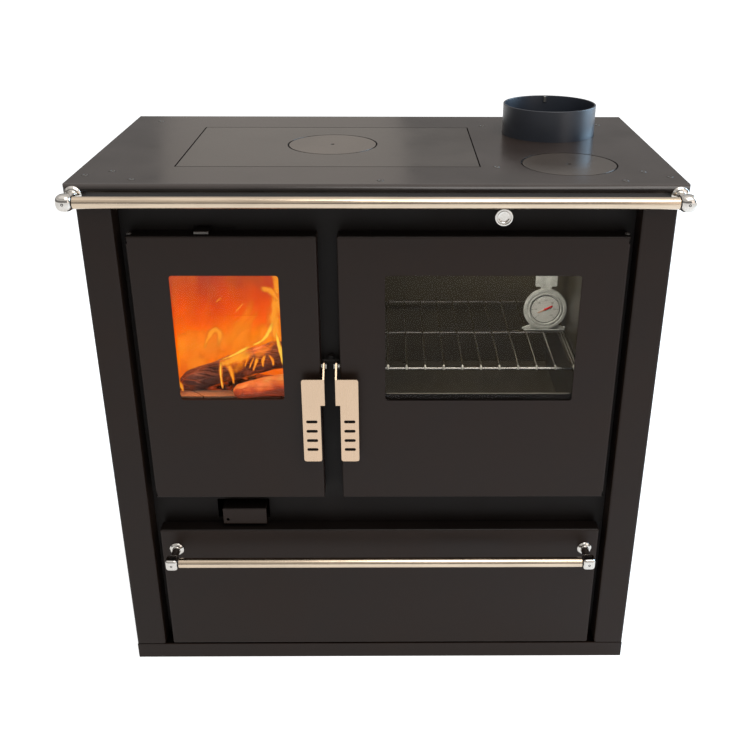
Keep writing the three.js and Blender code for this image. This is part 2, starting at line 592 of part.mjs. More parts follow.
// ---------------------------------------------------------------- doors
function door(parent, spec) {
  const group = newGroup(parent);
  const { name, window: pane } = spec;
  const face = FRONT + DOOR.sheet;
  add(group, `${name}_shell`, doorShell(spec), "casing");
  const glassFront = face + GAP;
  const glassBack = glassFront + GLASS.thickness;
  const glass = rectangle(grown(pane, GLASS.overlap), GLASS.corner);
  add(group, `${name}_glass`, push("y", glass, glassFront, glassBack), "glass");
  const clear = { ...grown(pane, GLASS.clear), bottom: pane.bottom + spec.sill };
  const retainer = frameOutline(grown(pane, GLASS.retainerOverlap), clear, DOOR.windowCorner);
  const retainerFront = glassBack + GAP;
  add(group, `${name}_retainer`, push("y", retainer, retainerFront, retainerFront + GLASS.retainer), "zinc");

  const hingeLeft = spec.hingeSide < 0;
  const plate = {
    left: spec.left + (hingeLeft ? INNER_FRAME.hingeInset : INNER_FRAME.latchInset),
    right: spec.right - (hingeLeft ? INNER_FRAME.latchInset : INNER_FRAME.hingeInset),
    bottom: spec.bottom + INNER_FRAME.endInset,
    top: spec.top - INNER_FRAME.endInset,
  };
  const plateBack = FRONT + DOOR.depth - 1;
  const inner = push(
    "y",
    frameOutline(plate, grown(pane, GLASS.overlap), DOOR.windowCorner),
    plateBack - INNER_FRAME.thickness,
    plateBack,
  );
  add(group, `${name}_inner_frame`, inner, "casing");
  const seal = frameOutline(
    grown(spec.opening, SEAL.outset - SEAL.bevel),
    grown(spec.opening, SEAL.outset - SEAL.width + SEAL.bevel),
    8,
  );
  const bevel = { bevelThickness: SEAL.bevel, bevelSize: SEAL.bevel, bevelSegments: 1 };
  add(group, `${name}_seal`, push("y", seal, plateBack + GAP, PANEL_FRONT - GAP, bevel), "rope");
  hingePins(group, spec);
  lever(group, spec);
}

// A pressed pan: flat front with a window, rounded edges turned back, and a notch at each hinge.
function doorShell(spec) {
  const { left, right, bottom, top, hingeSide, window: pane } = spec;
  const { depth, sheet, edge, windowCorner } = DOOR;
  const hingeEdge = hingeSide < 0 ? left : right;
  const notchX = [hingeEdge + hingeSide, hingeEdge - hingeSide * NOTCH.width];
  const x = hingeX(spec);
  const latchEdge = hingeSide < 0 ? right : left;
  return cut(
    roundedBox([left, right], [FRONT, FRONT + 2 * depth], [bottom, top], edge, 3),
    box([left - 1, right + 1], [FRONT + depth, FAR], [0, 2 * FAR]),
    box([left + sheet, right - sheet], [FRONT + sheet, FAR], [bottom + sheet, top - sheet]),
    push("y", rectangle(pane, windowCorner), -FAR, 0),
    box(notchX, [-FAR, 0], [top - NOTCH.start - NOTCH.height, top - NOTCH.start]),
    box(notchX, [-FAR, 0], [bottom + NOTCH.start, bottom + NOTCH.start + NOTCH.height]),
    rod("z", PIN.hole, -FAR, 2 * FAR, [x, HINGE_Y, 0], 12),
    rod("x", PIVOT.hole, -sheet - 1, sheet + 1, [latchEdge, LEVER.pivotY, LEVER.pivotZ], 16),
  );
}

// One pin down through the top edge and its lug, and one up through the bottom edge.
function hingePins(group, spec) {
  const { radius, head, headHeight, length } = PIN;
  const headTop = GAP + headHeight;
  for (const [end, edge, sign] of [["upper", spec.top, 1], ["lower", spec.bottom, -1]]) {
    const profile = [
      [0, -length], [radius, -length], [radius, GAP], [head, GAP],
      [head, headTop - 1], [head - 1, headTop], [0, headTop],
    ].map(([r, height]) => [r, sign * height]);
    const pin = turned("z", profile, [0, 0, 0], 12);
    add(group, `${spec.name}_pin_${end}`, pin, "zinc").position.set(hingeX(spec), HINGE_Y, edge);
  }
}

// The latch lever of one door, cut and bent from one sheet: a slotted blade in front, a side flange with the
// pivot eye, and a hook arm that reaches back under the catch.
function lever(group, spec) {
  const fire = spec.hingeSide < 0;
  const flangeX = fire ? LEVER.fireFlangeX : LEVER.ovenFlangeX;
  const over = spec.hingeSide; // the direction in which the blade lies over its door
  const { reach, sheet, width, bladeWidth, top, step, bottom, corner, pivotY, pivotZ, eye } = LEVER;
  const x = (u) => flangeX + over * u;
  const front = FRONT - reach;
  const inset = width - bladeWidth;
  const blade = outline([
    [x(0), step], [x(inset), step], [x(inset), bottom, corner], [x(width), bottom, corner],
    [x(width), top, corner], [x(0), top],
  ]);
  const slotX = x(LEVER_SLOT.offset);
  for (const z of LEVER_SLOT.heights) {
    const [halfWidth, halfHeight] = [LEVER_SLOT.width / 2, LEVER_SLOT.height / 2];
    const slot = {
      left: slotX - halfWidth, right: slotX + halfWidth, bottom: z - halfHeight, top: z + halfHeight,
    };
    blade.holes.push(rectangle(slot, halfHeight - 0.1, THREE.Path));
  }
  const flange = outline([
    [front, step], [front, top], [pivotY - eye, pivotZ + eye / 2], [pivotY - eye / 2, pivotZ + eye, 2],
    [pivotY + eye / 2, pivotZ + eye, 2], [pivotY + eye, pivotZ], [HOOK.front, pivotZ - HOOK.top],
    [HOOK.back, pivotZ - HOOK.top, 1], [HOOK.back, pivotZ - HOOK.tip, 2],
    [HOOK.front - eye / 2, pivotZ - HOOK.heel], [pivotY - eye, top - eye], [front + eye, step],
  ]);
  const body = cut(
    union(
      push("y", blade, front, front + sheet),
      push("x", flange, x(0), x(sheet)),
    ),
    rod("x", PIVOT.hole, -FAR, FAR, [0, pivotY, pivotZ], 16),
  );
  add(group, `${spec.name}_handle`, body, "stainless");

  const doorEdge = Math.abs((fire ? spec.right : spec.left) - flangeX);
  const bolt = pivotBolt(sheet, doorEdge, over);
  add(group, `${spec.name}_handle_pivot`, bolt, "zinc").position.set(flangeX, pivotY, pivotZ);
}

// Head, shank through the flange, spacer between flange and door, shank through the door's edge, nut.
function pivotBolt(sheet, doorEdge, over) {
  const { shank, head, headDepth, spacer, nutDepth } = PIVOT;
  const nut = doorEdge + DOOR.sheet + GAP;
  const profile = [
    [0, -GAP - headDepth], [head, -GAP - headDepth], [head, -GAP], [shank, -GAP],
    [shank, sheet + GAP], [spacer, sheet + GAP], [spacer, doorEdge - GAP], [shank, doorEdge - GAP],
    [shank, nut], [head, nut], [head, nut + nutDepth], [0, nut + nutDepth],
  ].map(([radius, place]) => [radius, over * place]);
  return turned("x", profile, [0, 0, 0], 16);
}

// ---------------------------------------------------------------- drawer
function drawer(parent) {
  const group = newGroup(parent);
  const { left, right, bottom, top, depth, sheet, edge } = DRAWER;
  const panel = cut(
    roundedBox([left, right], [FRONT, FRONT + 2 * depth], [bottom, top], edge, 3),
    box([left - 1, right + 1], [FRONT + depth, FAR], [0, FAR]),
    box([left + sheet, right - sheet], [FRONT + sheet, FAR], [bottom + sheet, top - sheet]),
  );
  add(group, "drawer_front", panel, "casing");
  const boxFront = FRONT + depth + GAP;
  const { side, bottom: low, top: high, back, sheet: thin } = DRAWER_BOX;
  const tray = cut(
    box([-side, side], [boxFront, back], [low, high]),
    box([-side + thin, side - thin], [boxFront + thin, back - thin], [low + thin, FAR]),
  );
  add(group, "drawer_box", tray, "enamel");
  const { radius, wall, end, x: middle, y, z } = DRAWER_HANDLE;
  const tube = pipe("x", radius, radius - wall, -end, end, [0, 0, 0], 24);
  add(group, "drawer_handle", tube, "stainless").position.set(middle, y, z);
  for (const [name, sign] of [["left", -1], ["right", 1]]) {
    railBracket(group, `drawer_handle_post_${name}`, middle + sign * HANDLE_POST.x, z, FRONT, y, HANDLE_POST);
    const { foot, web, inner, shelf, top: webTop, sheet: s, back: runnerBack } = RUNNER;
    const base = BODY.plinth + SHEET + 2 * GAP;
    const section = [
      [foot, base], [foot, base + s], [web, base + s], [web, webTop], [web - s, webTop], [web - s, shelf],
      [inner, shelf], [inner, shelf - s], [web - s, shelf - s], [web - s, base],
    ].map(([x, v]) => [sign * x, v]);
    const runner = push("y", outline(section), INSIDE_FRONT, runnerBack);
    add(parent, `drawer_runner_${name}`, runner, "zinc");
  }
}

// ---------------------------------------------------------------- air controls
function airControls(parent) {
  const { left, right, bottom, top, front, back, sheet } = PRIMARY_AIR;
  const hole = PRIMARY_PIN_HOLE;
  const channel = cut(
    roundedBox([left, right], [front, 2 * back - front], [bottom, top], 2, 2),
    box([left - 1, right + 1], [back, FAR], [0, FAR]),
    box([left - 1, right + 1], [front + sheet, FAR], [bottom + sheet, top - sheet]),
    rod("y", hole.radius, front - 1, front + sheet + 1, [left + hole.inset, 0, bottom + hole.rise], 12),
  );
  add(parent, "primary_air_slide", channel, "casing");

  const { left: tabLeft, right: tabRight, bottom: tabBottom, top: tabTop, front: tabFront } = SECONDARY_AIR;
  const flapFront = INSIDE_FRONT;
  const flapBack = flapFront + SECONDARY_FLAP.thickness;
  const slide = union(
    box([tabLeft, tabRight], [tabFront, flapBack], [tabBottom, tabTop]),
    push("y", rectangle(SECONDARY_FLAP, 2), flapFront, flapBack),
  );
  add(parent, "secondary_air_slide", slide, "castIron");
}

// ---------------------------------------------------------------- assembly
const cookstove = new THREE.Group();
cookstove.name = "wood_cookstove";
casing(cookstove);
hob(cookstove);
towelRail(cookstove);
damper(cookstove);
firebox(cookstove);
oven(cookstove);
door(cookstove, FIRE_DOOR);
door(cookstove, OVEN_DOOR);
drawer(cookstove);
airControls(cookstove);

export default cookstove;
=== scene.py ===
"""The looks of a wood-burning kitchen cookstove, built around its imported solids.

The object's own frame: +X right, +Y to the back, +Z up, origin under the plinth's centre. Lamps are placed in
metres. The functions that make meshes take millimetres, and what is written times MM is in millimetres too.
"""
import json
import math
import random

import bmesh
import bpy
from mathutils import Matrix, Vector


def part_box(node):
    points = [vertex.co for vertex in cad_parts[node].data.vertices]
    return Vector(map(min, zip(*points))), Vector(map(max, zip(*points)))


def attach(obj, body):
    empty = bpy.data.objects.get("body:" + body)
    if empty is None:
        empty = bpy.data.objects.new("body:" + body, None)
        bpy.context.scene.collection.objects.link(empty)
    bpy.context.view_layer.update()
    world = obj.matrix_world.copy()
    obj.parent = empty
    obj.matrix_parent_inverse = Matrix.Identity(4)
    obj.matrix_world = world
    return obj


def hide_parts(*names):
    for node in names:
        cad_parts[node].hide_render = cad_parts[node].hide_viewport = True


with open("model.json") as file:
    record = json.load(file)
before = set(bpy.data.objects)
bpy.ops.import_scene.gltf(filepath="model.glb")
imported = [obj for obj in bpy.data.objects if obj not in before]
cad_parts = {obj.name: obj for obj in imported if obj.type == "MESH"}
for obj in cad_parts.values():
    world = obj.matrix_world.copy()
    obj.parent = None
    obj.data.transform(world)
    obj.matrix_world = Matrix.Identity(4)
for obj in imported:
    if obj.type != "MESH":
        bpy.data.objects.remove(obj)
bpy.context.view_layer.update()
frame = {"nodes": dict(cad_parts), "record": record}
RECORD = frame["record"]
BODY_OF = {node: body for body, nodes in RECORD["behaviour"]["bodies"].items() for node in nodes}
SLOT_OF = {row["node"]: row["material_slot"] for row in RECORD["subparts"]}
MM = 0.001
HAZE_BACK = -106  # depth of the glowing sheet of painted firelight behind the flames, in millimetres


def new_object(name, data):
    obj = bpy.data.objects.new(name, data)
    bpy.context.scene.collection.objects.link(obj)
    return obj


# ---- camera, floor and light
PHOTO = {"width": 750, "focal": 983.6, "centre": (399.5, 378.3)}
EYE = Vector((17.1, -1581.0, 1201.7)) * MM
PITCH, YAW, ROLL = (math.radians(angle) for angle in (25.83, 0.62, -0.23))


def make_camera():
    camera = bpy.data.cameras.new("camera")
    camera.sensor_width = 36
    camera.lens = PHOTO["focal"] / PHOTO["width"] * camera.sensor_width
    middle = PHOTO["width"] / 2
    camera.shift_x = (middle - PHOTO["centre"][0]) / PHOTO["width"]
    camera.shift_y = (PHOTO["centre"][1] - middle) / PHOTO["width"]
    ahead = Vector((math.sin(YAW) * math.cos(PITCH), math.cos(YAW) * math.cos(PITCH), -math.sin(PITCH)))
    level = Vector((math.cos(YAW), -math.sin(YAW), 0))
    down = ahead.cross(level)
    right = level * math.cos(ROLL) + down * math.sin(ROLL)
    up = level * math.sin(ROLL) - down * math.cos(ROLL)
    obj = new_object("camera", camera)
    obj.matrix_world = Matrix.Translation(EYE) @ Matrix((right, up, -ahead)).transposed().to_4x4()
    bpy.context.scene.camera = obj


STUDIO = [  # what a glossy surface mirrors: (height of the direction from -1 to 1, brightness)
    (-1.0, 0.85), (-0.12, 0.8), (0.0, 0.3), (0.22, 0.22), (0.36, 0.55), (0.5, 0.9), (0.66, 0.6), (0.86, 1.15),
    (1.0, 1.25),
]
AMBIENT = 0.48  # brightness of the world for diffuse light


def make_world():
    """White for the camera, an even grey for diffuse light, and soft bands of a studio for reflections."""
    world = bpy.data.worlds.new("world")
    bpy.context.scene.world = world
    world.use_nodes = True
    n = Nodes(world.node_tree)
    height = n.scaled(n.axis("Generated", "Z"), 0, 1, -1, 1)
    bands = n.ramp(height, [((z + 1) / 2, (level, level * 0.97, level * 0.94, 1)) for z, level in STUDIO])
    path = n.add("LightPath").outputs
    mirrored = n.mixed(path["Is Glossy Ray"], (AMBIENT, AMBIENT, AMBIENT, 1), bands)
    shown = n.mixed(path["Is Camera Ray"], mirrored, (1, 1, 1, 1))
    n.put(n.tree.nodes["Background"].inputs["Color"], shown)


def make_floor(half=25, paleness=0.5, lift=0.88):
    """A grey floor that keeps the stove's shadow, lifted towards white for camera, gloss and glass."""
    mesh = bpy.data.meshes.new("floor")
    corners = [(-half, -half, 0), (half, -half, 0), (half, half, 0), (-half, half, 0)]
    mesh.from_pydata(corners, [], [(0, 1, 2, 3)])
    floor = new_object("floor", mesh)
    floor.location.z = -0.2 * MM
    f = Finish("floor", color=(paleness, paleness, paleness, 1), roughness=1, specular=0)
    f.set(emission=(1, 1, 1, 1))
    seen = 0
    for ray in ("Is Camera Ray", "Is Glossy Ray", "Is Transmission Ray"):
        seen = f.math("MAXIMUM", seen, f.add("LightPath").outputs[ray])
    f.set(strength=f.math("MULTIPLY", seen, lift))
    mesh.materials.append(f.material)


def lamp(name, kind, place, power, color, mirrored):
    light = bpy.data.lights.new(name, kind)
    light.energy = power
    light.color = color
    obj = new_object(name, light)
    obj.location = place
    obj.visible_glossy = mirrored
    return obj


def area_light(name, place, aim, size, power, color, mirrored=True, shape="RECTANGLE"):
    obj = lamp(name, "AREA", place, power, color, mirrored)
    obj.data.shape = shape
    obj.data.size, obj.data.size_y = size
    obj.rotation_euler = (Vector(aim) - Vector(place)).to_track_quat("-Z", "Y").to_euler()


def make_lights():
    """Large soft lamps round the stove and two small ones in the oven: place, aim, size, watts, colour."""
    area_light("key_light", (0.8, -1.5, 3.4), (0, 0, 0.5), (2.2, 2.2), 56, (1, 0.97, 0.94))
    area_light("window_light", (2.7, 0.8, 1.7), (0.2, 0, 0.8), (2.2, 2.2), 120, (0.5, 0.75, 1))
    area_light("fill_light", (1.7, -1.8, 1.3), (0.2, 0, 0.5), (1.2, 1.2), 6, (1, 0.88, 0.8))
    oval = {"color": (1, 0.88, 0.76), "shape": "ELLIPSE"}
    area_light("back_light", (-0.45, 2.8, 1.6), (-0.2, 0, 0.85), (1.1, 1.4), 0.85, **oval)
    inside = {"color": (1, 0.95, 0.84), "mirrored": False}
    area_light("oven_light", (0.11, -0.168, 0.732), (0.12, 0.1, 0.58), (0.2, 0.03), 1.25, **inside)
    area_light("oven_back_light", (0.262, 0.12, 0.73), (0.262, 0.2, 0.6), (0.04, 0.02), 0.8, **inside)


# ---- materials
def tone(red, green, blue):
    """A colour given as it is seen, 0 to 255, as the linear colour that a shader takes."""
    seen = (red / 255, green / 255, blue / 255)
    linear = [c / 12.92 if c <= 0.04045 else ((c + 0.055) / 1.055) ** 2.4 for c in seen]
    return (*linear, 1)


class Nodes:
    """A node tree, and short calls for its nodes."""

    def __init__(self, tree):
        self.tree = tree

    def put(self, socket, value):
        if isinstance(value, bpy.types.NodeSocket):
            self.tree.links.new(value, socket)
        else:
            socket.default_value = value

    def add(self, kind, inputs=None, **settings):
        node = self.tree.nodes.new("ShaderNode" + kind)
        for name, value in settings.items():
            setattr(node, name, value)
        for name, value in (inputs or {}).items():
            self.put(node.inputs[name], value)
        return node

    def axis(self, kind, letter):
        """X, Y or Z of one kind of coordinates: Generated, Object, Normal or UV."""
        place = self.add("TexCoord").outputs[kind]
        return self.add("SeparateXYZ", {"Vector": place}).outputs[letter]

    def ramp(self, factor, stops):
        node = self.add("ValToRGB", {"Fac": factor})
        ramp = node.color_ramp
        for _ in stops[2:]:
            ramp.elements.new(0.5)
        for element, stop in zip(ramp.elements, stops):
            element.position, element.color = stop
        return node.outputs["Color"]

    def scaled(self, factor, low, high, from_low=0.3, from_high=0.7, smooth=False):
        inputs = {"Value": factor, "From Min": from_low, "From Max": from_high, "To Min": low, "To Max": high}
        kind = "SMOOTHSTEP" if smooth else "LINEAR"
        return self.add("MapRange", inputs, interpolation_type=kind).outputs["Result"]

    def math(self, operation, a, b=0.0):
        return self.add("Math", {0: a, 1: b}, operation=operation).outputs[0]

    def weighed(self, a, part_a, b, part_b):
        return self.math("ADD", self.math("MULTIPLY", a, part_a), self.math("MULTIPLY", b, part_b))

    def mixed(self, factor, a, b):
        return self.add("Mix", {"Factor": factor, 6: a, 7: b}, data_type="RGBA").outputs[2]


class Finish(Nodes):
    """A material with one Principled shader."""

    def __init__(self, name, **values):
        self.material = bpy.data.materials.new(name)
        self.material.use_nodes = True
        super().__init__(self.material.node_tree)
        self.shader = self.tree.nodes["Principled BSDF"]
        self.coordinates = self.add("TexCoord").outputs["Object"]
        self.set(**values)

    def set(self, **values):
        for name, value in values.items():
            self.put(self.shader.inputs[SOCKETS[name]], value)
        return self

    def stretched(self, scale):
        return self.add("Mapping", {"Vector": self.coordinates, "Scale": scale}).outputs[0]

    def noise(self, scale, detail=3, rough=0.5, stretch=(1, 1, 1), distortion=0):
        inputs = {
            "Vector": self.stretched(stretch), "Scale": scale, "Detail": detail,
            "Roughness": rough, "Distortion": distortion,
        }
        return self.add("TexNoise", inputs).outputs["Fac"]

    def cells(self, scale, feature="F1", stretch=(1, 1, 1)):
        inputs = {"Vector": self.stretched(stretch), "Scale": scale}
        return self.add("TexVoronoi", inputs, feature=feature).outputs["Distance"]

    def vector(self, operation, a, b):
        return self.add("VectorMath", {0: a, 1: b}, operation=operation).outputs[0]

    def blob(self, centre, radii, warp):
        """A soft spot: one at its centre, nought at its radii, and pulled about by warp, in millimetres."""
        shift = self.add("TexNoise", {"Vector": self.coordinates, "Scale": 18, "Detail": 3}).outputs["Color"]
        shift = self.vector("SUBTRACT", shift, (0.5, 0.5, 0.5))
        shift = self.add("VectorMath", {0: shift, "Scale": warp * MM}, operation="SCALE").outputs[0]
        away = self.vector("ADD", self.coordinates, shift)
        away = self.vector("SUBTRACT", away, tuple(c * MM for c in centre))
        away = self.vector("DIVIDE", away, tuple(r * MM for r in radii))
        length = self.add("VectorMath", {0: away}, operation="LENGTH").outputs["Value"]
        return self.scaled(length, 1.0, 0.0, 0.0, 1.0, smooth=True)

    def bump(self, height, distance):
        return self.add("Bump", {"Height": height, "Distance": distance}).outputs["Normal"]


SOCKETS = {
    "color": "Base Color", "roughness": "Roughness", "metallic": "Metallic", "normal": "Normal",
    "alpha": "Alpha", "specular": "Specular IOR Level", "emission": "Emission Color",
    "strength": "Emission Strength",
}


def coating(name, dark, light, roughness, specular, grain=900, depth=0.03, clouds=7, upright=None):
    """Paint on steel: two close tones in soft clouds, a fine orange-peel grain and a wandering gloss.

    The two tones upright, where given, are those of the faces that stand on edge: a split used to paint
    shade.
    """
    f = Finish(name, specular=specular)
    cloud = f.noise(clouds, 4, 0.6)
    fine = f.noise(grain, 2, 0.6)
    mottle = f.weighed(cloud, 0.8, fine, 0.2)
    color = f.ramp(mottle, [(0.35, tone(*dark)), (0.68, tone(*light))])
    if upright:
        on_edge = f.ramp(mottle, [(0.35, tone(*upright[0])), (0.68, tone(*upright[1]))])
        color = f.mixed(f.scaled(f.axis("Normal", "Z"), 0, 1, 0.2, 0.9), on_edge, color)
    f.set(color=color, roughness=f.scaled(cloud, roughness - 0.05, roughness + 0.06))
    if depth:
        f.set(normal=f.bump(fine, depth * MM))
    return f.material


def metal(name, color, roughness, stretch=(1, 1, 1), lines=500, spread=0.18, depth=0.01, shade=0.82):
    """Bare metal with drawn lines: stretch squeezes the noise along the way the metal was brushed."""
    f = Finish(name, metallic=1)
    brushed = f.noise(lines, 3, 0.6, stretch)
    cloud = f.noise(14, 3, 0.5)
    both = f.weighed(brushed, 0.7, cloud, 0.3)
    linear = tone(*color)
    darker = tuple(c * shade for c in linear[:3]) + (1,)
    f.set(color=f.ramp(both, [(0.35, darker), (0.65, linear)]))
    f.set(roughness=f.scaled(both, max(roughness - spread / 2, 0.03), roughness + spread / 2))
    if depth:
        f.set(normal=f.bump(brushed, depth * MM))
    return f.material


HOB = {"grain": 420, "depth": 0.002}
CASING = (31, 21, 16), (37, 26, 20)
PAINTED_GAP_SHADE = (11, 9, 8), (15, 12, 11)  # painted shade on a loose plate's edges, so its slit reads dark
COATINGS = {  # name: dark tone, light tone, roughness, specular, and what differs from the usual coating
    "casing_paint": (*CASING, 0.42, 0.2, {"depth": 0.012}),
    # painted shade: the casing tones stay on upright faces, while faces that look up (the tops of doors,
    # drawer and air slide) go near black
    "casing_shaded_tops": ((13, 9, 7), (17, 12, 10), 0.42, 0.2, {"depth": 0.012, "upright": CASING}),
    # recess_paint is the casing paint darkened as painted shade, for parts set back in recesses and slits,
    # sockets and the rings round the hob screws
    "recess_paint": ((19, 15, 13), (24, 19, 17), 0.55, 0.2, {"depth": 0.012}),
    # hob_steel's upright tones paint shade on the walls of its pockets and its front skirt. The insert and
    # lids are lighter copies of the hob tone, a painted highlight of the warm reflection round the centre
    # lid; the right lid's copy has less of it.
    "hob_steel": ((46, 37, 32), (55, 45, 40), 0.18, 0.45, {**HOB, "upright": ((20, 16, 14), (25, 20, 17))}),
    "hob_insert": ((56, 48, 42), (65, 56, 49), 0.18, 0.45, {**HOB, "upright": PAINTED_GAP_SHADE}),
    "hob_lid": ((74, 63, 54), (86, 74, 64), 0.18, 0.45, {**HOB, "upright": PAINTED_GAP_SHADE}),
    "hob_lid_less_highlight": ((62, 53, 46), (73, 63, 55), 0.18, 0.45, {**HOB, "upright": PAINTED_GAP_SHADE}),
    "screw_steel": ((62, 57, 53), (84, 78, 72), 0.3, 0.6, {}),
    "pin_steel": ((52, 48, 46), (70, 66, 62), 0.35, 0.5, {}),
    "collar_enamel": ((30, 33, 40), (38, 43, 52), 0.36, 0.5, {"depth": 0.005}),
    "gauge_metal": (
        (142, 143, 138), (182, 183, 177), 0.35, 0.7, {"grain": 300, "depth": 0.004, "clouds": 60},
    ),
    "cast_iron": ((34, 31, 30), (58, 53, 50), 0.7, 0.4, {"grain": 420, "depth": 0.25}),
    "oven_enamel": ((46, 42, 33), (56, 51, 40), 0.32, 0.5, {"grain": 40, "depth": 0}),
    "seal_rope": ((26, 25, 24), (58, 56, 54), 0.95, 0.1, {"grain": 600, "depth": 0.4}),
    "dial_face": ((172, 172, 167), (190, 190, 184), 0.5, 0.3, {}),
    "dial_print": ((70, 70, 68), (84, 84, 80), 0.6, 0.2, {}),
    "needle_red": ((186, 30, 34), (206, 40, 42), 0.45, 0.4, {}),
    "needle_tail": ((196, 120, 84), (206, 132, 96), 0.5, 0.4, {}),
    # a painted highlight on the front ends of the oven rack's wires
    "rack_end_highlight": ((186, 183, 172), (214, 211, 200), 0.3, 0.8, {}),
    # a painted highlight for the edge of the oven glass retainer's lower bar
    "retainer_edge_highlight": ((128, 120, 104), (150, 142, 124), 0.4, 0.5, {}),
}
METALS = {  # name: tone, roughness, and what differs from the usual metal
    "stainless": ((206, 188, 166), 0.2, {"stretch": (0.02, 1, 1), "lines": 700, "shade": 0.76}),
    "lever_steel": ((198, 172, 146), 0.27, {"stretch": (1, 1, 0.03), "lines": 620, "shade": 0.9}),
    "chrome": ((206, 202, 196), 0.07, {"lines": 420, "spread": 0.05, "depth": 0.02, "shade": 0.8}),
    "rack_wire": ((232, 228, 218), 0.22, {"lines": 120, "spread": 0.1, "depth": 0}),
    "zinc_steel": ((176, 176, 172), 0.35, {"lines": 160, "spread": 0.2, "depth": 0.02}),
}
FLAME_TONES = {  # name: tone of the edge, tone of the core, opacity, softness of the edge
    "flame_yellow": ((255, 116, 8), (255, 205, 70), 1.0, 0.75),
    "flame_orange": ((248, 98, 10), (255, 160, 40), 0.92, 0.8),
    "flame_soft": ((252, 104, 8), (255, 136, 20), 0.85, 0.9),
    "flame_faint": ((255, 110, 6), (255, 138, 20), 0.5, 0.9),
    "flame_sheet": ((255, 120, 12), (255, 136, 24), 0.85, 0.35),
}


def make_finishes():
    made = {"firebrick": firebrick(), "door_glass": door_glass()}
    made.update({"embers": embers(), "firelit_haze": firelit_haze()})
    made.update({name: charred(name) for name in ("charred", "glowing")})
    made.update({name: coating(name, *row[:4], **row[4]) for name, row in COATINGS.items()})
    made.update({name: metal(name, *row[:2], **row[2]) for name, row in METALS.items()})
    made.update({name: flame_finish(name, *row) for name, row in FLAME_TONES.items()})
    return made


def firebrick():
    """Pale, stained clay slabs with darker joints."""
    f = Finish("firebrick", roughness=0.92, specular=0.2)
    along = f.math("ADD", f.axis("Object", "X"), f.axis("Object", "Y"))
    flat = f.add("CombineXYZ", {"X": along, "Y": f.axis("Object", "Z")}).outputs[0]
    joints = {
        "Vector": flat, "Scale": 1.0, "Brick Width": 0.062, "Row Height": 0.034, "Mortar Size": 0.0011,
        "Mortar Smooth": 0.4, "Color1": (1, 1, 1, 1), "Color2": (0.8, 0.8, 0.8, 1), "Mortar": (0, 0, 0, 1),
    }
    brick = f.add("TexBrick", joints)
    grit = f.noise(260, 4, 0.7)
    stain = f.noise(22, 3, 0.6)
    clay = f.ramp(f.weighed(stain, 0.6, grit, 0.4), [(0.34, tone(140, 112, 92)), (0.66, tone(190, 158, 132))])
    f.set(color=f.mixed(brick.outputs["Fac"], clay, tone(66, 50, 42)))
    height = f.math("SUBTRACT", f.math("MULTIPLY", grit, 0.3), brick.outputs["Fac"])
    f.set(normal=f.bump(height, 0.8 * MM))
    return f.material


def charred(name):
    """Split, burning wood: charred, with embers in its cracks, or glowing all over its upper side."""
    f = Finish(name, roughness=0.92, specular=0.2)
    grain = f.noise(70, 5, 0.7, (0.25, 1, 1))
    ash = f.noise(28, 4, 0.6)
    bark = [(0.36, tone(58, 38, 36)), (0.52, tone(116, 80, 72)), (0.68, tone(184, 142, 126))]
    f.set(color=f.ramp(f.weighed(grain, 0.5, ash, 0.5), bark))
    split = f.cells(110, "DISTANCE_TO_EDGE", (0.22, 1, 1))
    crack = f.scaled(split, 1.0, 0.0, 0.0, 0.14)
    hot = f.noise(24, 4, 0.6)
    if name == "glowing":
        lit = f.math("ADD", f.scaled(f.axis("Normal", "Z"), -0.05, 0.8, -0.3, 0.8), f.scaled(hot, -0.3, 0.3))
        lit = f.math("SUBTRACT", lit, f.math("MULTIPLY", crack, 0.14))
        # the log's own glow, stronger on its upper side; its brightest stop is a painted highlight along the
        # top rim
        glow = [(0.05, (150, 60, 34)), (0.35, (222, 80, 28)), (0.7, (255, 128, 44)), (0.95, (255, 176, 84))]
        f.set(emission=f.ramp(lit, [(place, tone(*color)) for place, color in glow]))
        f.set(strength=f.scaled(lit, 0.7, 1.0, 0.0, 0.6))
    else:
        lit = f.math("MULTIPLY", crack, f.scaled(hot, 0.0, 1.0, 0.5, 0.68))
        f.set(emission=tone(255, 110, 30), strength=f.math("MULTIPLY", lit, 0.35))
    height = f.math("SUBTRACT", f.math("MULTIPLY", grain, 0.6), crack)
    f.set(normal=f.bump(height, 1.6 * MM))
    return f.material


def embers():
    """Grey ash in lumps that glow in patches."""
    f = Finish("embers", roughness=0.95, specular=0.1)
    lumps = f.cells(120)
    hot = f.noise(20, 4, 0.6)
    f.set(color=f.ramp(lumps, [(0.1, tone(92, 78, 72)), (0.6, tone(40, 32, 30))]))
    f.set(emission=tone(255, 92, 20), strength=f.scaled(hot, 0.0, 0.8, 0.48, 0.66))
    f.set(normal=f.bump(lumps, 2 * MM))
    return f.material


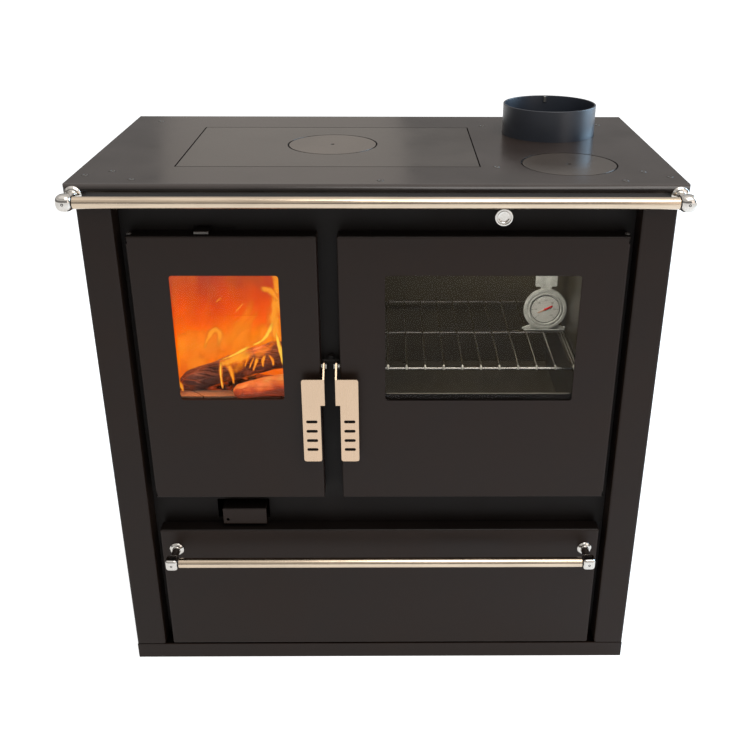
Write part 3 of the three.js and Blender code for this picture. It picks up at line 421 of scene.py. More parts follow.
def firelit_haze():
    """Painted firelight in the firebox's smoke: orange below, duller and redder above, gold near the flames.
    """
    f = Finish("firelit_haze", color=(0, 0, 0, 1), roughness=1, specular=0)
    height = f.axis("Object", "Z")
    billow = f.noise(11, 4, 0.55, (1, 1, 0.6), 0.6)
    level = f.math("ADD", height, f.scaled(billow, -0.02, 0.02))
    color = f.ramp(f.scaled(level, 0, 1, 0.50, 0.70), [
        (0.0, tone(248, 102, 10)), (0.2, tone(255, 120, 0)), (0.42, tone(255, 96, 0)),
        (0.62, tone(238, 76, 8)), (0.8, tone(196, 68, 34)), (1.0, tone(168, 70, 52)),
    ])
    bright, gold = tone(255, 130, 4), tone(255, 148, 16)
    # painted pools of firelight: bright and gold spots near the flames, duller red ones higher up
    spots = [  # x and z of the centre, radii, tone, warp, weight
        ((-296, 545), (62, 60, 48), bright, 14, 0.85), ((-232, 560), (64, 60, 54), bright, 26, 0.85),
        ((-150, 648), (22, 60, 110), gold, 10, 0.85), ((-180, 556), (50, 60, 34), gold, 20, 0.85),
        ((-228, 668), (44, 60, 34), tone(166, 74, 46), 20, 0.35),
        ((-330, 700), (110, 90, 80), tone(176, 70, 50), 24, 0.5),
    ]
    for (x, z), radii, shade, warp, weight in spots:
        spot = f.blob((x, HAZE_BACK - 2, z), radii, warp)
        color = f.mixed(f.math("MULTIPLY", spot, weight), color, shade)
    wisps = f.noise(26, 5, 0.6, (1, 1, 0.5), 1.2)
    f.set(emission=f.mixed(f.scaled(wisps, 0.0, 0.2, 0.45, 0.7), color, tone(255, 138, 12)), strength=1.3)
    thinner = f.scaled(height, 0.97, 0.84, 0.58, 0.70)
    f.set(alpha=f.math("MULTIPLY", thinner, f.scaled(height, 1.0, 0.0, 0.72, 0.80, smooth=True)))
    return f.material


def flame_finish(name, edge, core, opacity, softness):
    """A tongue of flame on a ribbon whose u runs across and v along it."""
    f = Finish(name, color=(0, 0, 0, 1), roughness=1, specular=0)
    across, along = f.axis("UV", "X"), f.axis("UV", "Y")
    aside = f.math("ABSOLUTE", f.math("MULTIPLY", f.math("SUBTRACT", across, 0.5), 2.0))
    wave = f.noise(70, 3, 0.6, (1, 1, 0.5), 0.5)
    body = f.math("ADD", f.math("SUBTRACT", 1.0, aside), f.scaled(wave, -0.35, 0.3))
    start = f.scaled(along, 0, 1, 0.0, 0.16, smooth=True)
    end = f.scaled(along, 1, 0, 0.72, 1.0, smooth=True)
    ends = f.math("MULTIPLY", start, end)
    alpha = f.math("MULTIPLY", f.scaled(body, 0, opacity, 0.02, softness, smooth=True), ends)
    f.set(emission=f.ramp(body, [(0.15, tone(*edge)), (0.8, tone(*core))]), strength=1.3, alpha=alpha)
    return f.material


def door_glass():
    """Clear ceramic glass with a faint brown haze of soot in patches."""
    f = Finish("door_glass", roughness=0.04, specular=0.3)
    haze = f.noise(16, 4, 0.6)
    f.set(color=f.ramp(haze, [(0.3, tone(20, 16, 13)), (0.7, tone(34, 27, 22))]))
    f.set(alpha=f.scaled(haze, 0.08, 0.2))
    return f.material


# ---- meshes
REBUILT = set()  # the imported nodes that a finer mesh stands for


def dress(node, finish, width, segments, angle=32):
    """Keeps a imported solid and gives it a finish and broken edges, width in millimetres."""
    obj = frame["nodes"][node]
    obj.data.materials.clear()
    obj.data.materials.append(finish)
    weld = obj.modifiers.new("weld", "WELD")
    weld.merge_threshold = 0.002 * MM
    flat = obj.modifiers.new("flat", "DECIMATE")
    flat.decimate_type = "DISSOLVE"
    flat.angle_limit = math.radians(0.3)
    bevel = obj.modifiers.new("bevel", "BEVEL")
    bevel.width = width * MM
    bevel.segments = segments
    bevel.limit_method = "ANGLE"
    bevel.angle_limit = math.radians(angle)
    bevel.harden_normals = True
    bevel.use_clamp_overlap = True
    normals = obj.modifiers.new("normals", "WEIGHTED_NORMAL")
    normals.keep_sharp = True


def box_of(node):
    """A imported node's lowest corner, highest corner and middle, in millimetres."""
    low, high = (Vector(corner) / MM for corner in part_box(node))
    return low, high, (low + high) / 2


def smooth(mesh, sharp):
    """Makes a mesh smooth apart from the edges that are sharper than an angle in degrees."""
    mesh.polygons.foreach_set("use_smooth", [True] * len(mesh.polygons))
    mesh.set_sharp_from_angle(angle=math.radians(sharp))
    return mesh


def mesh_of(verts, faces, sharp=38, uvs=None):
    """A mesh from points in millimetres."""
    mesh = bpy.data.meshes.new("mesh")
    mesh.from_pydata([Vector(v) * MM for v in verts], [], faces)
    if uvs:
        layer = mesh.uv_layers.new(name="uv")
        for loop in mesh.loops:
            layer.data[loop.index].uv = uvs[loop.vertex_index]
    else:
        work = bmesh.new()
        work.from_mesh(mesh)
        bmesh.ops.remove_doubles(work, verts=work.verts, dist=0.001 * MM)
        bmesh.ops.recalc_face_normals(work, faces=work.faces)
        work.to_mesh(mesh)
        work.free()
    return smooth(mesh, sharp)


def joined(*meshes):
    """One mesh from several, which keeps each one's own material index: 0 for the first, 1 for the next."""
    whole = bmesh.new()
    for index, mesh in enumerate(meshes):
        start = len(whole.faces)
        whole.from_mesh(mesh)
        whole.faces.ensure_lookup_table()
        for face in whole.faces[start:]:
            face.material_index = index
    result = bpy.data.meshes.new("mesh")
    whole.to_mesh(result)
    whole.free()
    return result


def piece(name, mesh, slot, stands_for=None, body=None, finishes=None):
    """A new object with its finishes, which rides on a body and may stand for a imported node."""
    for finish in finishes or [slot]:
        mesh.materials.append(FINISHES[finish])
    obj = new_object(name, mesh)
    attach(obj, body or BODY_OF[stands_for])
    if stands_for:
        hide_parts(stands_for)
        REBUILT.add(stands_for)


def filleted(points, closed=True, steps=4):
    """The outline through points (u, v) or (u, v, radius), with arcs at the corners that have a radius."""
    out = []
    for i, (u, v, *rest) in enumerate(points):
        if not rest or not rest[0] or (not closed and i in (0, len(points) - 1)):
            out.append((u, v))
            continue
        corner = Vector((u, v))
        before = Vector(points[i - 1][:2]) - corner
        after = Vector(points[(i + 1) % len(points)][:2]) - corner
        half = before.angle(after) / 2
        reach = min(rest[0] / math.tan(half), 0.49 * before.length, 0.49 * after.length)
        radius = reach * math.tan(half)
        before, after = before.normalized(), after.normalized()
        centre = corner + (before + after).normalized() * (radius / math.sin(half))
        start, end = corner + before * reach - centre, corner + after * reach - centre
        for k in range(steps + 1):
            spoke = start.lerp(end, k / steps).normalized() * radius
            out.append(tuple(centre + spoke))
    return out


def lathe(profile, axis="z", centre=(0, 0, 0), segments=64, sharp=38):
    """A turned mesh from points (radius, place along the axis)."""
    verts, faces = [], []
    count = len(profile)
    for i in range(segments):
        angle = math.tau * i / segments
        for radius, along in profile:
            a, b = radius * math.cos(angle), radius * math.sin(angle)
            turned = {"x": (along, a, b), "y": (a, along, b), "z": (a, b, along)}[axis]
            verts.append(Vector(turned) + Vector(centre))
    for i in range(segments):
        here, there = i * count, (i + 1) % segments * count
        for j in range(count - 1):
            faces.append((here + j, here + j + 1, there + j + 1, there + j))
    return mesh_of(verts, faces, sharp)


def sweep(points, radius, sides, closed=False, flatness=1.0, wobble=None):
    """A round bar along points; radius may be one number or one for each point."""
    points = [Vector(p) for p in points]
    count = len(points)
    radii = radius if isinstance(radius, (list, tuple)) else [radius] * count
    verts, faces = [], []
    side = None
    for i, point in enumerate(points):
        before = points[i - 1] if closed or i else point
        after = points[(i + 1) % count] if closed or i < count - 1 else point
        ahead = (after - before).normalized()
        if side is None:
            side = ahead.cross(Vector((0, 1, 0.01))).normalized()
        side = (side - ahead * side.dot(ahead)).normalized()
        other = ahead.cross(side)
        for k in range(sides):
            angle = math.tau * k / sides
            reach = radii[i] * (wobble(point, angle) if wobble else 1)
            verts.append(point + side * math.cos(angle) * reach + other * math.sin(angle) * reach * flatness)
    for i in range(count if closed else count - 1):
        here, there = i * sides, (i + 1) % count * sides
        for k in range(sides):
            n = (k + 1) % sides
            faces.append((here + k, here + n, there + n, there + k))
    if not closed:
        faces.append(tuple(range(sides)))
        faces.append(tuple(reversed(range((count - 1) * sides, count * sides))))
    return mesh_of(verts, faces, 50)


def mesh_of_curve(curve, move):
    """The mesh of a filled curve or a text, turned upright into the (x, z) plane and moved."""
    obj = new_object(curve.name, curve)
    bpy.context.view_layer.update()
    mesh = bpy.data.meshes.new_from_object(obj.evaluated_get(bpy.context.evaluated_depsgraph_get()))
    bpy.data.objects.remove(obj)
    bpy.data.curves.remove(curve)
    mesh.transform(Matrix.Translation(Vector(move) * MM) @ Matrix.Rotation(math.pi / 2, 4, "X"))
    mesh.materials.clear()
    return mesh


def plate(outline, low, high, centre=(0, 0, 0), holes=(), round_edge=0.5):
    """A sheet in the (x, z) plane between two depths, with rounded edges."""
    curve = bpy.data.curves.new("plate", "CURVE")
    curve.dimensions = "2D"
    curve.fill_mode = "BOTH"
    for loop in (outline, *holes):
        spline = curve.splines.new("POLY")
        spline.points.add(len(loop) - 1)
        for point, (x, z) in zip(spline.points, loop):
            point.co = (x * MM, z * MM, 0, 1)
        spline.use_cyclic_u = True
    curve.bevel_depth = round_edge * MM
    curve.bevel_resolution = 2
    curve.offset = -round_edge * MM
    curve.extrude = ((high - low) / 2 - round_edge) * MM
    return smooth(mesh_of_curve(curve, Vector(centre) + Vector((0, (low + high) / 2, 0))), 30)


def grid(rows, columns, start=0):
    """The faces of a sheet of points, row after row from a starting point."""
    corners = [start + j * (columns + 1) + i for j in range(rows) for i in range(columns)]
    return [(a, a + 1, a + columns + 2, a + columns + 1) for a in corners]


def block(half, power, cuts, centre):
    """A cube with strongly rounded edges and corners: the points where |x|^p + |y|^p + |z|^p is one."""
    verts, faces = [], []
    for axis in range(3):
        for sign in (-1, 1):
            start = len(verts)
            for i in range(cuts + 1):
                for j in range(cuts + 1):
                    u, v = (math.tan((2 * k / cuts - 1) * math.pi / 4) for k in (i, j))
                    point = [u, v]
                    point.insert(axis, sign)
                    norm = sum(abs(c) ** power for c in point) ** (1 / power)
                    verts.append(Vector(point) / norm * half + Vector(centre))
            faces += grid(cuts, cuts, start)
    return mesh_of(verts, faces, 80)


# ---- rails and knob
def rail_tube(name, node, wall=1.5):
    """An open tube with softly broken ends."""
    low, high, middle = box_of(node)
    radius = (high.z - low.z) / 2
    ends = [(radius - wall, low.x), (radius, low.x, 0.6), (radius, high.x, 0.6), (radius - wall, high.x)]
    profile = filleted(ends)
    piece(name, lathe(profile + profile[:1], "x", (0, middle.y, middle.z), 72), "stainless", node)


def rail_bracket(name, node, rail, inward, fullness=1.0, roundness=4.2):
    """Domed disc on the wall, waisted neck, rounded knuckle with a grub screw, and a black ring by the tube.

    Fullness is the knuckle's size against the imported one, and a lower roundness makes it more of a ball.
    """
    low, high, middle = box_of(node)
    _, rail_high, rail_middle = box_of(rail)
    tube = rail_high.z - rail_middle.z
    disc = (high.x - low.x) / 2
    wall = high.y
    half = rail_middle.y - low.y
    neck = disc * 0.55
    profile = filleted([
        (0, wall), (disc, wall), (disc, wall - 1.6, 1.2), (disc - 2.6, wall - 3.8, 2.5),
        (neck, wall - 4.6, 1.6), (neck * 0.9, rail_middle.y + half * 0.9), (neck, rail_middle.y),
        (0, rail_middle.y),
    ], closed=False, steps=5)
    base = lathe(profile, "y", (middle.x, 0, middle.z), 48)
    reach = half * fullness
    knuckle = block(reach, roundness, 14, (middle.x, rail_middle.y, middle.z))
    section = filleted([(tube - 1, 0), (tube + 0.5, 0, 0.4), (tube + 0.5, 1.5, 0.4), (tube - 1, 1.5)])
    outline = [(r, along * inward) for r, along in section + section[:1]]
    ring = lathe(outline, "x", (middle.x + inward * (half - 0.6), rail_middle.y, rail_middle.z), 48)
    front = rail_middle.y - reach - 0.05
    inner, outer, sunk = 0.9, 1.9, 0.9
    socket = [(0, front + sunk), (inner, front + sunk), (inner, front), (outer, front), (outer, front + 0.8)]
    screw = lathe(socket, "y", (middle.x, 0, middle.z), 24)
    finishes = ["chrome", "chrome", "recess_paint", "recess_paint"]
    piece(name, joined(base, knuckle, ring, screw), "chrome", node, finishes=finishes)


def knob(name, node):
    """A turned knob with a dished face inside a raised rim, and a waist behind it."""
    low, high, middle = box_of(node)
    radius = (high.x - low.x) / 2
    front, back = low.y, high.y
    profile = filleted([
        (0, front + 2.2), (radius * 0.5, front + 2.2, 3), (radius * 0.68, front + 0.6, 0.8),
        (radius * 0.7, front + 2.4), (radius * 0.78, front + 2.4), (radius * 0.8, front, 0.6),
        (radius, front, 1.6), (radius, front + 8, 2), (radius * 0.55, front + 13, 3),
        (radius * 0.6, back), (0, back),
    ], closed=False, steps=6)
    piece(name, lathe(profile, "y", (middle.x, 0, middle.z), 64), "chrome", node)


# ---- flue collar and hob screws
def flue_collar():
    """A rolled shell with the flange that carries it under the hob, and a small clip inside its rim."""
    node = "flue_collar"
    low, high, middle = box_of(node)
    flange = (high.x - low.x) / 2
    outer, wall = flange - 7, 3
    inner, top, hob = outer - wall, high.z, box_of("hob_plate")[1].z
    under, over = hob - 9, hob - 5.3
    profile = filleted([
        (inner, low.z), (outer, low.z), (outer, under), (flange, under), (flange, over), (outer, over),
        (outer, hob - 1, 1), (outer, top, 0.9), (inner, top, 0.9),
    ])
    shell = lathe(profile + profile[:1], "z", (middle.x, middle.y, 0), 128)
    piece("flue_collar_rolled", shell, "collar_enamel", node)
    half, length = 2.2, 10.5
    clip = filleted([(-half, -length, 0.8), (half, -length, 0.8), (half, -1, 0.5), (-half, -1, 0.5)])
    tab = plate(clip, -0.8, 0.8, (middle.x + 3, middle.y + inner - 1.6, top), round_edge=0.3)
    piece("flue_collar_clip", tab, "zinc_steel", body="stove")


HOB_SCREWS = [  # x and y
    (-417, -189.5), (-384.5, -165.5), (-346, -212.5), (-388, 192.5), (4, -217.5), (178, 156.5),
    (175, -138.5), (386, -165.5), (349.5, -216.5), (417.5, -195.5), (382, 167.5),
]


def mark(mesh, first):
    """Gives the first faces of a mesh its first finish, and the rest its second."""
    mesh.polygons.foreach_set("material_index", [int(i >= first) for i in range(len(mesh.polygons))])


def hob_screws():
    """Socket screws with a domed head, each in a dark ring of painted shadow, with a socket painted dark as
    shade.
    """
    top = box_of("hob_plate")[1].z
    head = [(1.9, 0.1), (2.2, 0.8), (3.4, 0.7), (4.3, 0.25), (4.4, 0.06)]
    socket = [(0, 0.1), (1.9, 0.1)]
    ring = [(4.4, 0.06), (5.2, 0.04)]

    def turned(profile):
        return [lathe([(r, top + z) for r, z in profile], "z", (x, y, 0), 20) for x, y in HOB_SCREWS]
    heads = turned(head)
    mesh = joined(*heads, *turned(socket), *turned(ring))
    mark(mesh, sum(len(part.polygons) for part in heads))
    piece("hob_screws", mesh, "zinc_steel", body="stove", finishes=["screw_steel", "recess_paint"])


# ---- oven fittings
RACK_WIRES, RACK_PITCH = 12, 29.54
RACK_MIDDLE = -22.5  # depth of the bar under the middle of the rack
WIRE_END = [  # depth and height, from the front
    (-3.4, -3.4), (-3.3, -0.8), (-2.4, 0.9), (-0.8, 1.5), (1.0, 1.3), (3.4, 0.3), (6, 0),
]


def oven_rack():
    """Three round bars across, two at the sides, and wires laid over them, whose humped ends bend down."""
    node = "oven_rack"
    low, high, middle = box_of(node)
    bar, wire = 2.6, 1.6
    z, top = low.z + bar, high.z - wire
    front, back = low.y + bar, high.y - bar
    across = (high.x - low.x) / 2 - bar
    left, right = middle.x - across, middle.x + across
    parts = [sweep([(left, y, z), (right, y, z)], bar, 14) for y in (front, RACK_MIDDLE, back)]
    parts += [sweep([(x, front, z), (x, back, z)], bar, 14) for x in (left, right)]
    ends = []
    for i in range(RACK_WIRES):
        x = middle.x + RACK_PITCH * (i - (RACK_WIRES - 1) / 2)
        path = [(x, front + dy, top + dz) for dy, dz in WIRE_END]
        path += [(x, back - dy, top + dz) for dy, dz in reversed(WIRE_END)]
        parts.append(sweep(path[4:], wire, 10))
        ends.append(sweep(path[:5], wire, 10))
    # the wires' front ends get a lighter finish of their own: a painted highlight
    mesh = joined(*parts, *ends)
    mark(mesh, sum(len(part.polygons) for part in parts))
    piece("oven_rack_wires", mesh, "chrome", node, finishes=["rack_wire", "rack_end_highlight"])


GAUGE_FRONT = -24.0  # depth of the thermometer's rim
SHEET_FRONT = 5.5  # how far behind the rim its foot and hook start
DIAL_RADIUS = 25
SCALE_START, SCALE_TURN = 225, 270  # degrees from +X, and how far the scale runs clockwise


def gauge_centre():
    middle = box_of("thermometer_dial")[2]
    return middle.x, middle.z


def thermometer_body():
    """A stepped bezel on a waisted foot with a lip, and a hook plate with a slot above it."""
    low, high, _ = box_of("thermometer_case")
    x, z = gauge_centre()
    rim = box_of("thermometer_dial")[1].x - x + 6
    profile = filleted([
        (0, 9), (rim - 1, 9, 1), (rim, 4, 1), (rim - 0.6, 0.4, 0.8), (rim - 5.5, 0, 0.6),
        (rim - 6.6, 1.6, 0.3), (rim - 7.4, 1.6, 0.3), (rim - 8.4, 0.2, 0.8), (rim - 10.4, 0.2, 0.8),
        (rim - 11.4, 2.2), (DIAL_RADIUS, 2.6), (0, 2.6),
    ], closed=False)
    case = lathe([(r, GAUGE_FRONT + along) for r, along in profile], "y", (x, 0, z), 96)
    half = (high.x - low.x) / 2
    base, top = low.z - z, high.z - z
    foot = filleted([
        (-half, base), (half, base), (half - 0.5, base + 2.4), (24, base + 7, 8), (15, -28), (-15, -28),
        (-24, base + 7, 8), (-half + 0.5, base + 2.4),
    ])
    stand = plate(foot, SHEET_FRONT, 8.8, (x, GAUGE_FRONT, z))
    lip = sweep([(side, GAUGE_FRONT - 1, low.z + 1.2) for side in (x - half + 2, x + half - 2)], 1.2, 12)
    neck, wide, shoulder = 9, 18.5, top - 34
    hook = filleted([
        (-neck, 33), (neck, 33), (neck, shoulder, 2), (wide, shoulder, 3), (wide, top, 4), (-wide, top, 4),
        (-wide, shoulder, 3), (-neck, shoulder, 2),
    ])
    slot = filleted([(-7, top - 12, 3), (7, top - 12, 3), (7, top - 6, 3), (-7, top - 6, 3)])
    tab = plate(hook, SHEET_FRONT, 8.6, (x, GAUGE_FRONT, z), holes=[slot])
    mesh = joined(case, stand, lip, tab)
    mark(mesh, len(mesh.polygons))
    piece("thermometer_body", mesh, "zinc_steel", "thermometer_case", finishes=["gauge_metal"])


def thermometer_face():
    """A pale dial with a line round its rim, a mark every nine degrees and plain numbers."""
    x, z = gauge_centre()
    front, back, printed = GAUGE_FRONT + 2.4, GAUGE_FRONT + 2.9, GAUGE_FRONT + 2.33
    disc = lathe([(0, front), (DIAL_RADIUS, front), (DIAL_RADIUS, back), (0, back)], "y", (x, 0, z), 72)
    marks = [disc, lathe([(23.9, printed), (DIAL_RADIUS, printed)], "y", (x, 0, z), 72)]
    for i in range(31):
        angle = math.radians(SCALE_START - SCALE_TURN * i / 30)
        start, half = (19.6, 0.3) if i % 5 == 0 else (21.4, 0.16)
        ahead = Vector((math.cos(angle), 0, math.sin(angle)))
        wide = Vector((-ahead.z, 0, ahead.x)) * half
        near, far = (Vector((x, printed, z)) + ahead * radius for radius in (start, 23.4))
        marks.append(mesh_of([near - wide, far - wide, far + wide, near + wide], [(0, 1, 2, 3)]))
    for i in range(7):
        angle = math.radians(SCALE_START - SCALE_TURN * i / 6)
        place = (x + 16 * math.cos(angle), printed, z + 16 * math.sin(angle))
        marks.append(numeral(str(50 * i), 3.6, place))
    mesh = joined(*marks)
    mark(mesh, len(disc.polygons))
    piece("thermometer_face", mesh, "dial_face", "thermometer_dial", finishes=["dial_face", "dial_print"])


def thermometer_pointer():
    """A red blade with a thin pale tail, on a small boss."""
    x, z = gauge_centre()
    slope = math.radians(27)
    along = Vector((math.cos(slope), 0, math.sin(slope)))
    hub = Vector((x, GAUGE_FRONT + 1.4, z))
    path = [hub + along * reach for reach in (-2, 3, 12, 13.5)]
    blade = sweep(path, [1.2, 1.7, 1.7, 0.5], 12, flatness=0.35)
    tail = sweep([hub - along * 14, hub - along * 1], [0.35, 0.7], 8, flatness=0.5)
    dome = [(0, 0.6), (1.6, 0.7), (2, 1.4), (2, 2.4)]
    boss = lathe([(r, GAUGE_FRONT + back) for r, back in dome], "y", (x, 0, z), 24)
    finishes = ["needle_red", "needle_tail", "needle_red"]
    mesh = joined(blade, tail, boss)
    piece("thermometer_pointer", mesh, "needle_red", "thermometer_needle", finishes=finishes)


def numeral(text, size, place):
    curve = bpy.data.curves.new("numeral", "FONT")
    curve.body = text
    curve.size = size * MM
    curve.align_x = "CENTER"
    curve.align_y = "CENTER"
    return mesh_of_curve(curve, place)


def rope_seal(name, node):
    """A rope laid round the door's back, flattened against the inner frame."""
    low, high, middle = box_of(node)
    depth = (high.y - low.y) / 2
    width = 4.0
    corners = filleted([
        (low.x + width, low.z + width, 12), (high.x - width, low.z + width, 12),
        (high.x - width, high.z - width, 12), (low.x + width, high.z - width, 12),
    ], steps=8)
    path = []
    for (x0, z0), (x1, z1) in zip(corners, corners[1:] + corners[:1]):
        parts = max(1, round(math.hypot(x1 - x0, z1 - z0) / 6))
        path += [(x0 + (x1 - x0) * i / parts, middle.y, z0 + (z1 - z0) * i / parts) for i in range(parts)]
    piece(name, sweep(path, width, 14, closed=True, flatness=depth / width), "seal_rope", node)


def oven_retainer_edge():
    """A lighter rod along the glass retainer's lower bar: a painted highlight on its edge."""
    pane = box_of("oven_door_glass")
    inset, height = 14, 516.1
    y = box_of("oven_door_retainer")[2].y
    edge = sweep([(pane[0].x + inset, y, height), (pane[1].x - inset, y, height)], 1.1, 10, flatness=0.6)
    piece("oven_retainer_edge", edge, "zinc_steel", body="oven_door", finishes=["retainer_edge_highlight"])


def secondary_tab():
    """The bare metal end of the secondary air slide."""
    front = box_of("secondary_air_slide")[0].y
    left, right, bottom, top = -263.8, -242.7, 772.7, 776.3
    tab = filleted([(x, z, 0.6) for x, z in ((left, bottom), (right, bottom), (right, top), (left, top))])
    sleeve = plate(tab, front - 0.3, front + 3)
    piece("secondary_air_tab", sleeve, "zinc_steel", body="secondary_air", finishes=["screw_steel"])


# ---- fire
def rough(seed, amount=0.16):
    """A wobble for a log's skin: long waves that run along it and turn round it."""
    chance = random.Random(seed)
    waves = []
    for _ in range(7):
        waves.append((chance.uniform(0.02, 0.09), chance.randint(1, 7), chance.uniform(0, math.tau)))

    def wobble(point, angle):
        total = sum(math.sin(point.x * pace + turns * angle + phase) for pace, turns, phase in waves)
        return 1 + amount * total / 4
    return wobble


def log(name, start, end, radii, seed, finish, bow=0):
    """A rough log from start to end, which tapers, bows upwards and breaks off short at both ends."""
    start, end = Vector(start), Vector(end)
    steps = 28
    points, widths = [], []
    for i in range(steps + 1):
        t = i / steps
        lift = bow * math.sin(math.pi * t)
        points.append(start.lerp(end, t) + Vector((0, 0, lift)))
        broken = min(1, 0.55 + 6 * min(t, 1 - t))
        widths.append((radii[0] * (1 - t) + radii[1] * t) * broken)
    mesh = sweep(points, widths, 26, wobble=rough(seed))
    piece(name, mesh, "cast_iron", body="stove", finishes=[finish])


FLAMES = [  # name and finish without "flame_", depth, and the way up the tongue: x, z and half width
    ("mass_left", "sheet", -128, [(-360, 550, 30), (-322, 553, 30), (-296, 556, 28), (-268, 560, 26),
        (-248, 566, 20), (-230, 572, 6)]),
    ("mass_left_low", "soft", -127, [(-305, 490, 34), (-300, 520, 36), (-292, 560, 20)]),
    ("mass_middle", "soft", -124, [(-236, 500, 42), (-230, 540, 46), (-222, 572, 34), (-206, 606, 12)]),
    ("wisp_a", "faint", -125, [(-262, 540, 8), (-238, 572, 12), (-214, 606, 11), (-196, 640, 5)]),
    ("wisp_b", "faint", -125, [(-246, 556, 4), (-226, 580, 6), (-208, 596, 7), (-188, 622, 3)]),
    ("mass_right", "soft", -126, [(-176, 536, 30), (-176, 566, 36), (-172, 600, 18)]),
    ("side", "orange", -140, [(-160, 566, 12), (-166, 604, 15), (-162, 636, 14), (-158, 668, 10),
        (-166, 704, 8)]),
    ("side_low", "soft", -138, [(-150, 540, 20), (-156, 580, 24), (-158, 620, 14)]),
    ("branch", "orange", -142, [(-156, 640, 8), (-170, 658, 8), (-186, 660, 5)]),
    ("arch", "orange", -129, [(-283, 551, 4), (-274, 572, 6.5), (-264, 585, 7), (-256, 581, 7),
        (-257, 567, 6), (-262, 553, 3)]),
    ("mass_front", "orange", -175, [(-250, 545, 7), (-236, 552, 13), (-220, 559, 18), (-196, 568, 17)]),
    ("mass_low", "faint", -174, [(-228, 530, 5), (-222, 542, 12), (-214, 554, 17), (-204, 566, 14)]),
    ("mass_right_low", "faint", -173, [(-196, 560, 6), (-184, 567, 9), (-170, 576, 8), (-162, 590, 6)]),
    ("edge", "yellow", -178, [(-248, 555, 1.6), (-229, 563, 3.2), (-216, 570, 4.2), (-199, 580, 3.4)]),
    ("hook", "yellow", -150, [(-202, 568, 1.6), (-190, 573, 4), (-180, 582, 5.5), (-172, 596, 6.5),
        (-166, 609, 3.5)]),
    ("streak", "yellow", -170, [(-151, 541, 2.2), (-155, 567, 4.4), (-158, 584, 3.6), (-160, 601, 1.6)]),
    ("tongue_a", "orange", -174, [(-249, 502, 1.6), (-250, 518, 4.6), (-250, 536, 5.4), (-247, 557, 4.6)]),
    ("tongue_a_core", "yellow", -176, [(-249, 505, 0.9), (-250, 520, 2.2), (-250, 537, 2.4),
        (-248, 552, 1.4)]),
    ("tongue_b", "orange", -174, [(-231, 511, 1.4), (-232, 524, 4.2), (-235, 538, 7.5), (-239, 552, 11)]),
    ("tongue_c", "orange", -172, [(-205, 538, 1.4), (-201, 548, 2.8), (-196, 558, 2.2)]),
    ("tongue_d", "orange", -174, [(-199, 534, 1.8), (-195, 546, 4), (-190, 559, 3.4)]),
    ("tongue_e", "orange", -172, [(-183, 540, 1.6), (-183, 551, 3.4), (-177, 562, 2.6)]),
    ("tongue_f", "orange", -172, [(-167, 542, 1.6), (-168, 553, 3.4), (-174, 562, 2.6)]),
    ("tongue_g", "orange", -172, [(-212, 540, 1.6), (-208, 552, 3), (-204, 564, 2.4)]),
    ("spark_a", "orange", -130, [(-257, 633, 1.2), (-252, 638, 2.6), (-247, 641, 1.2)]),
    ("spark_b", "orange", -130, [(-227, 617, 1.2), (-220, 625, 2.2), (-213, 633, 1)]),
    ("lick_left", "orange", -178, [(-311, 500, 2.4), (-314, 511, 4.4), (-317, 522, 2)]),
]


def between_points(p0, p1, p2, p3, t):
    """A point of the smooth curve through four points, a part t of the way from the second to the third."""
    bend = 2 * p0 - 5 * p1 + 4 * p2 - p3
    return 0.5 * (2 * p1 + (p2 - p0) * t + bend * t * t + (3 * p1 - p0 - 3 * p2 + p3) * t ** 3)


def flame(name, finish, depth, path, steps=10, across=6, belly=-2):
    """A flat tongue of flame: an upright ribbon along a path, bellied to the front, textured by its UVs."""
    points = [Vector((x, depth, z)) for x, z, _ in path]
    widths = [half for _, _, half in path]
    fine, half = [], []
    for i in range(len(points) - 1):
        near = points[max(i - 1, 0)], points[i], points[i + 1], points[min(i + 2, len(points) - 1)]
        for k in range(steps):
            t = k / steps
            fine.append(between_points(*near, t))
            half.append(widths[i] + (widths[i + 1] - widths[i]) * t)
    fine.append(points[-1])
    half.append(widths[-1])
    verts, uvs = [], []
    for i, point in enumerate(fine):
        ahead = (fine[min(i + 1, len(fine) - 1)] - fine[max(i - 1, 0)]).normalized()
        side = ahead.cross(Vector((0, 1, 0))).normalized()
        for k in range(across + 1):
            s = 2 * k / across - 1
            verts.append(point + side * s * half[i] + Vector((0, belly * (1 - s * s), 0)))
            uvs.append((k / across, i / (len(fine) - 1)))
    mesh = mesh_of(verts, grid(len(fine) - 1, across), 180, uvs)
    piece(name, mesh, "cast_iron", body="stove", finishes=[finish])


def ember_bed():
    """Ash and embers over the grate, heaped unevenly."""
    left, right, front, back = -322, -128, -158, 160
    columns, rows = 40, 60
    verts = []
    for j in range(rows + 1):
        for i in range(columns + 1):
            x = left + (right - left) * i / columns
            y = front + (back - front) * j / rows
            heap = math.sin(x * 0.11 + 1.3) * math.sin(y * 0.083) + math.sin(x * 0.31 + y * 0.23) * 0.5
            rim = min(i, columns - i, j, rows - j) / 4
            verts.append((x, y, 490.6 + (3.5 + 2.2 * heap) * min(1, rim)))
    mesh = mesh_of(verts, grid(rows, columns), 60)
    piece("ember_bed", mesh, "cast_iron", body="stove", finishes=["embers"])


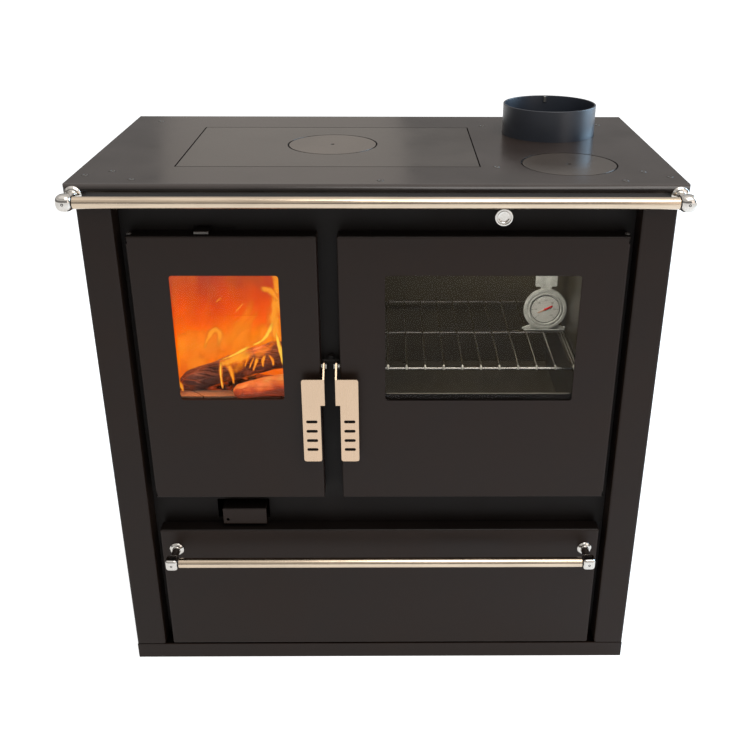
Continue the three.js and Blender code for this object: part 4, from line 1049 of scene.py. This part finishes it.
def fire():
    """Embers, four logs, painted firelight on the smoke behind them, the flames, and the lamp that they are.
    """
    ember_bed()
    log("log_front", (-318, -154, 500), (-138, -135, 551), (17, 22.5), 3, "charred", bow=4)
    log("log_glowing", (-229, -186, 502), (-138, -187, 516), (11, 18.5), 8, "glowing", bow=2)
    log("log_rear", (-214, -96, 512), (-134, -88, 530), (20, 22), 5, "charred")
    log("log_deep", (-300, -20, 506), (-150, 40, 516), (20, 18), 12, "charred", bow=4)
    plan = [(-323.4, -185), (-323.4, -128), (-319, -114), (-308, HAZE_BACK), (-128, HAZE_BACK)]
    low, high = 493, 806
    sheet = [(x, y, z) for x, y in plan for z in (low, high)]
    haze = mesh_of(sheet, [(i, i + 2, i + 3, i + 1) for i in range(0, 2 * len(plan) - 2, 2)], 180)
    piece("firelit_haze", haze, "cast_iron", body="stove", finishes=["firelit_haze"])
    for name, finish, depth, path in FLAMES:
        flame("flame_" + name, "flame_" + finish, depth, path)
    light = lamp("fire_light", "POINT", (-0.228, -0.132, 0.60), 2.2, (1, 0.36, 0.08), mirrored=False)
    light.data.shadow_soft_size = 0.05


# ---- scene
make_camera()
make_world()
make_floor()
make_lights()
FINISHES = make_finishes()

rail_tube("towel_rail_tube", "towel_rail")
rail_tube("drawer_handle_tube", "drawer_handle")
for side, inward in (("left", 1), ("right", -1)):
    rail_bracket(f"rail_bracket_{side}", f"towel_rail_bracket_{side}", "towel_rail", inward, 1.14, 2.6)
    rail_bracket(f"handle_post_{side}", f"drawer_handle_post_{side}", "drawer_handle", inward)
knob("damper_knob_turned", "damper_knob")
flue_collar()
hob_screws()
oven_rack()
thermometer_body()
thermometer_face()
thermometer_pointer()
rope_seal("fire_door_rope", "fire_door_seal")
rope_seal("oven_door_rope", "oven_door_seal")
oven_retainer_edge()
secondary_tab()
fire()

OTHER_FINISH = {  # nodes whose looks differ from the usual finish of their material slot
    # several of these paint light: lighter hob plates as a highlight round the centre lid, and darkened tops
    # and recessed parts as shade
    "hob_insert": "hob_insert", "hob_lid_center": "hob_lid", "hob_lid_right": "hob_lid_less_highlight",
    "primary_air_slide": "casing_shaded_tops", "drawer_front": "casing_shaded_tops",
    "secondary_air_slide": "recess_paint",
}
for door in ("fire_door", "oven_door"):
    OTHER_FINISH.update({
        f"{door}_handle": "lever_steel", f"{door}_shell": "casing_shaded_tops", f"{door}_retainer": "recess_paint",
        f"{door}_pin_upper": "pin_steel", f"{door}_pin_lower": "pin_steel",
    })
USUAL_EDGE = (0.5, 2)  # width of a broken edge in millimetres, and its steps
EDGES = {
    "fire_door_handle": (1.0, 3), "oven_door_handle": (1.0, 3),
    "hob_insert": (0.4, 2), "hob_plate": (0.4, 2),
}
for node_name in frame["nodes"]:
    if node_name not in REBUILT:
        finish_name = OTHER_FINISH.get(node_name, SLOT_OF[node_name])
        dress(node_name, FINISHES[finish_name], *EDGES.get(node_name, USUAL_EDGE))

bpy.context.scene.view_settings.view_transform = "Standard"
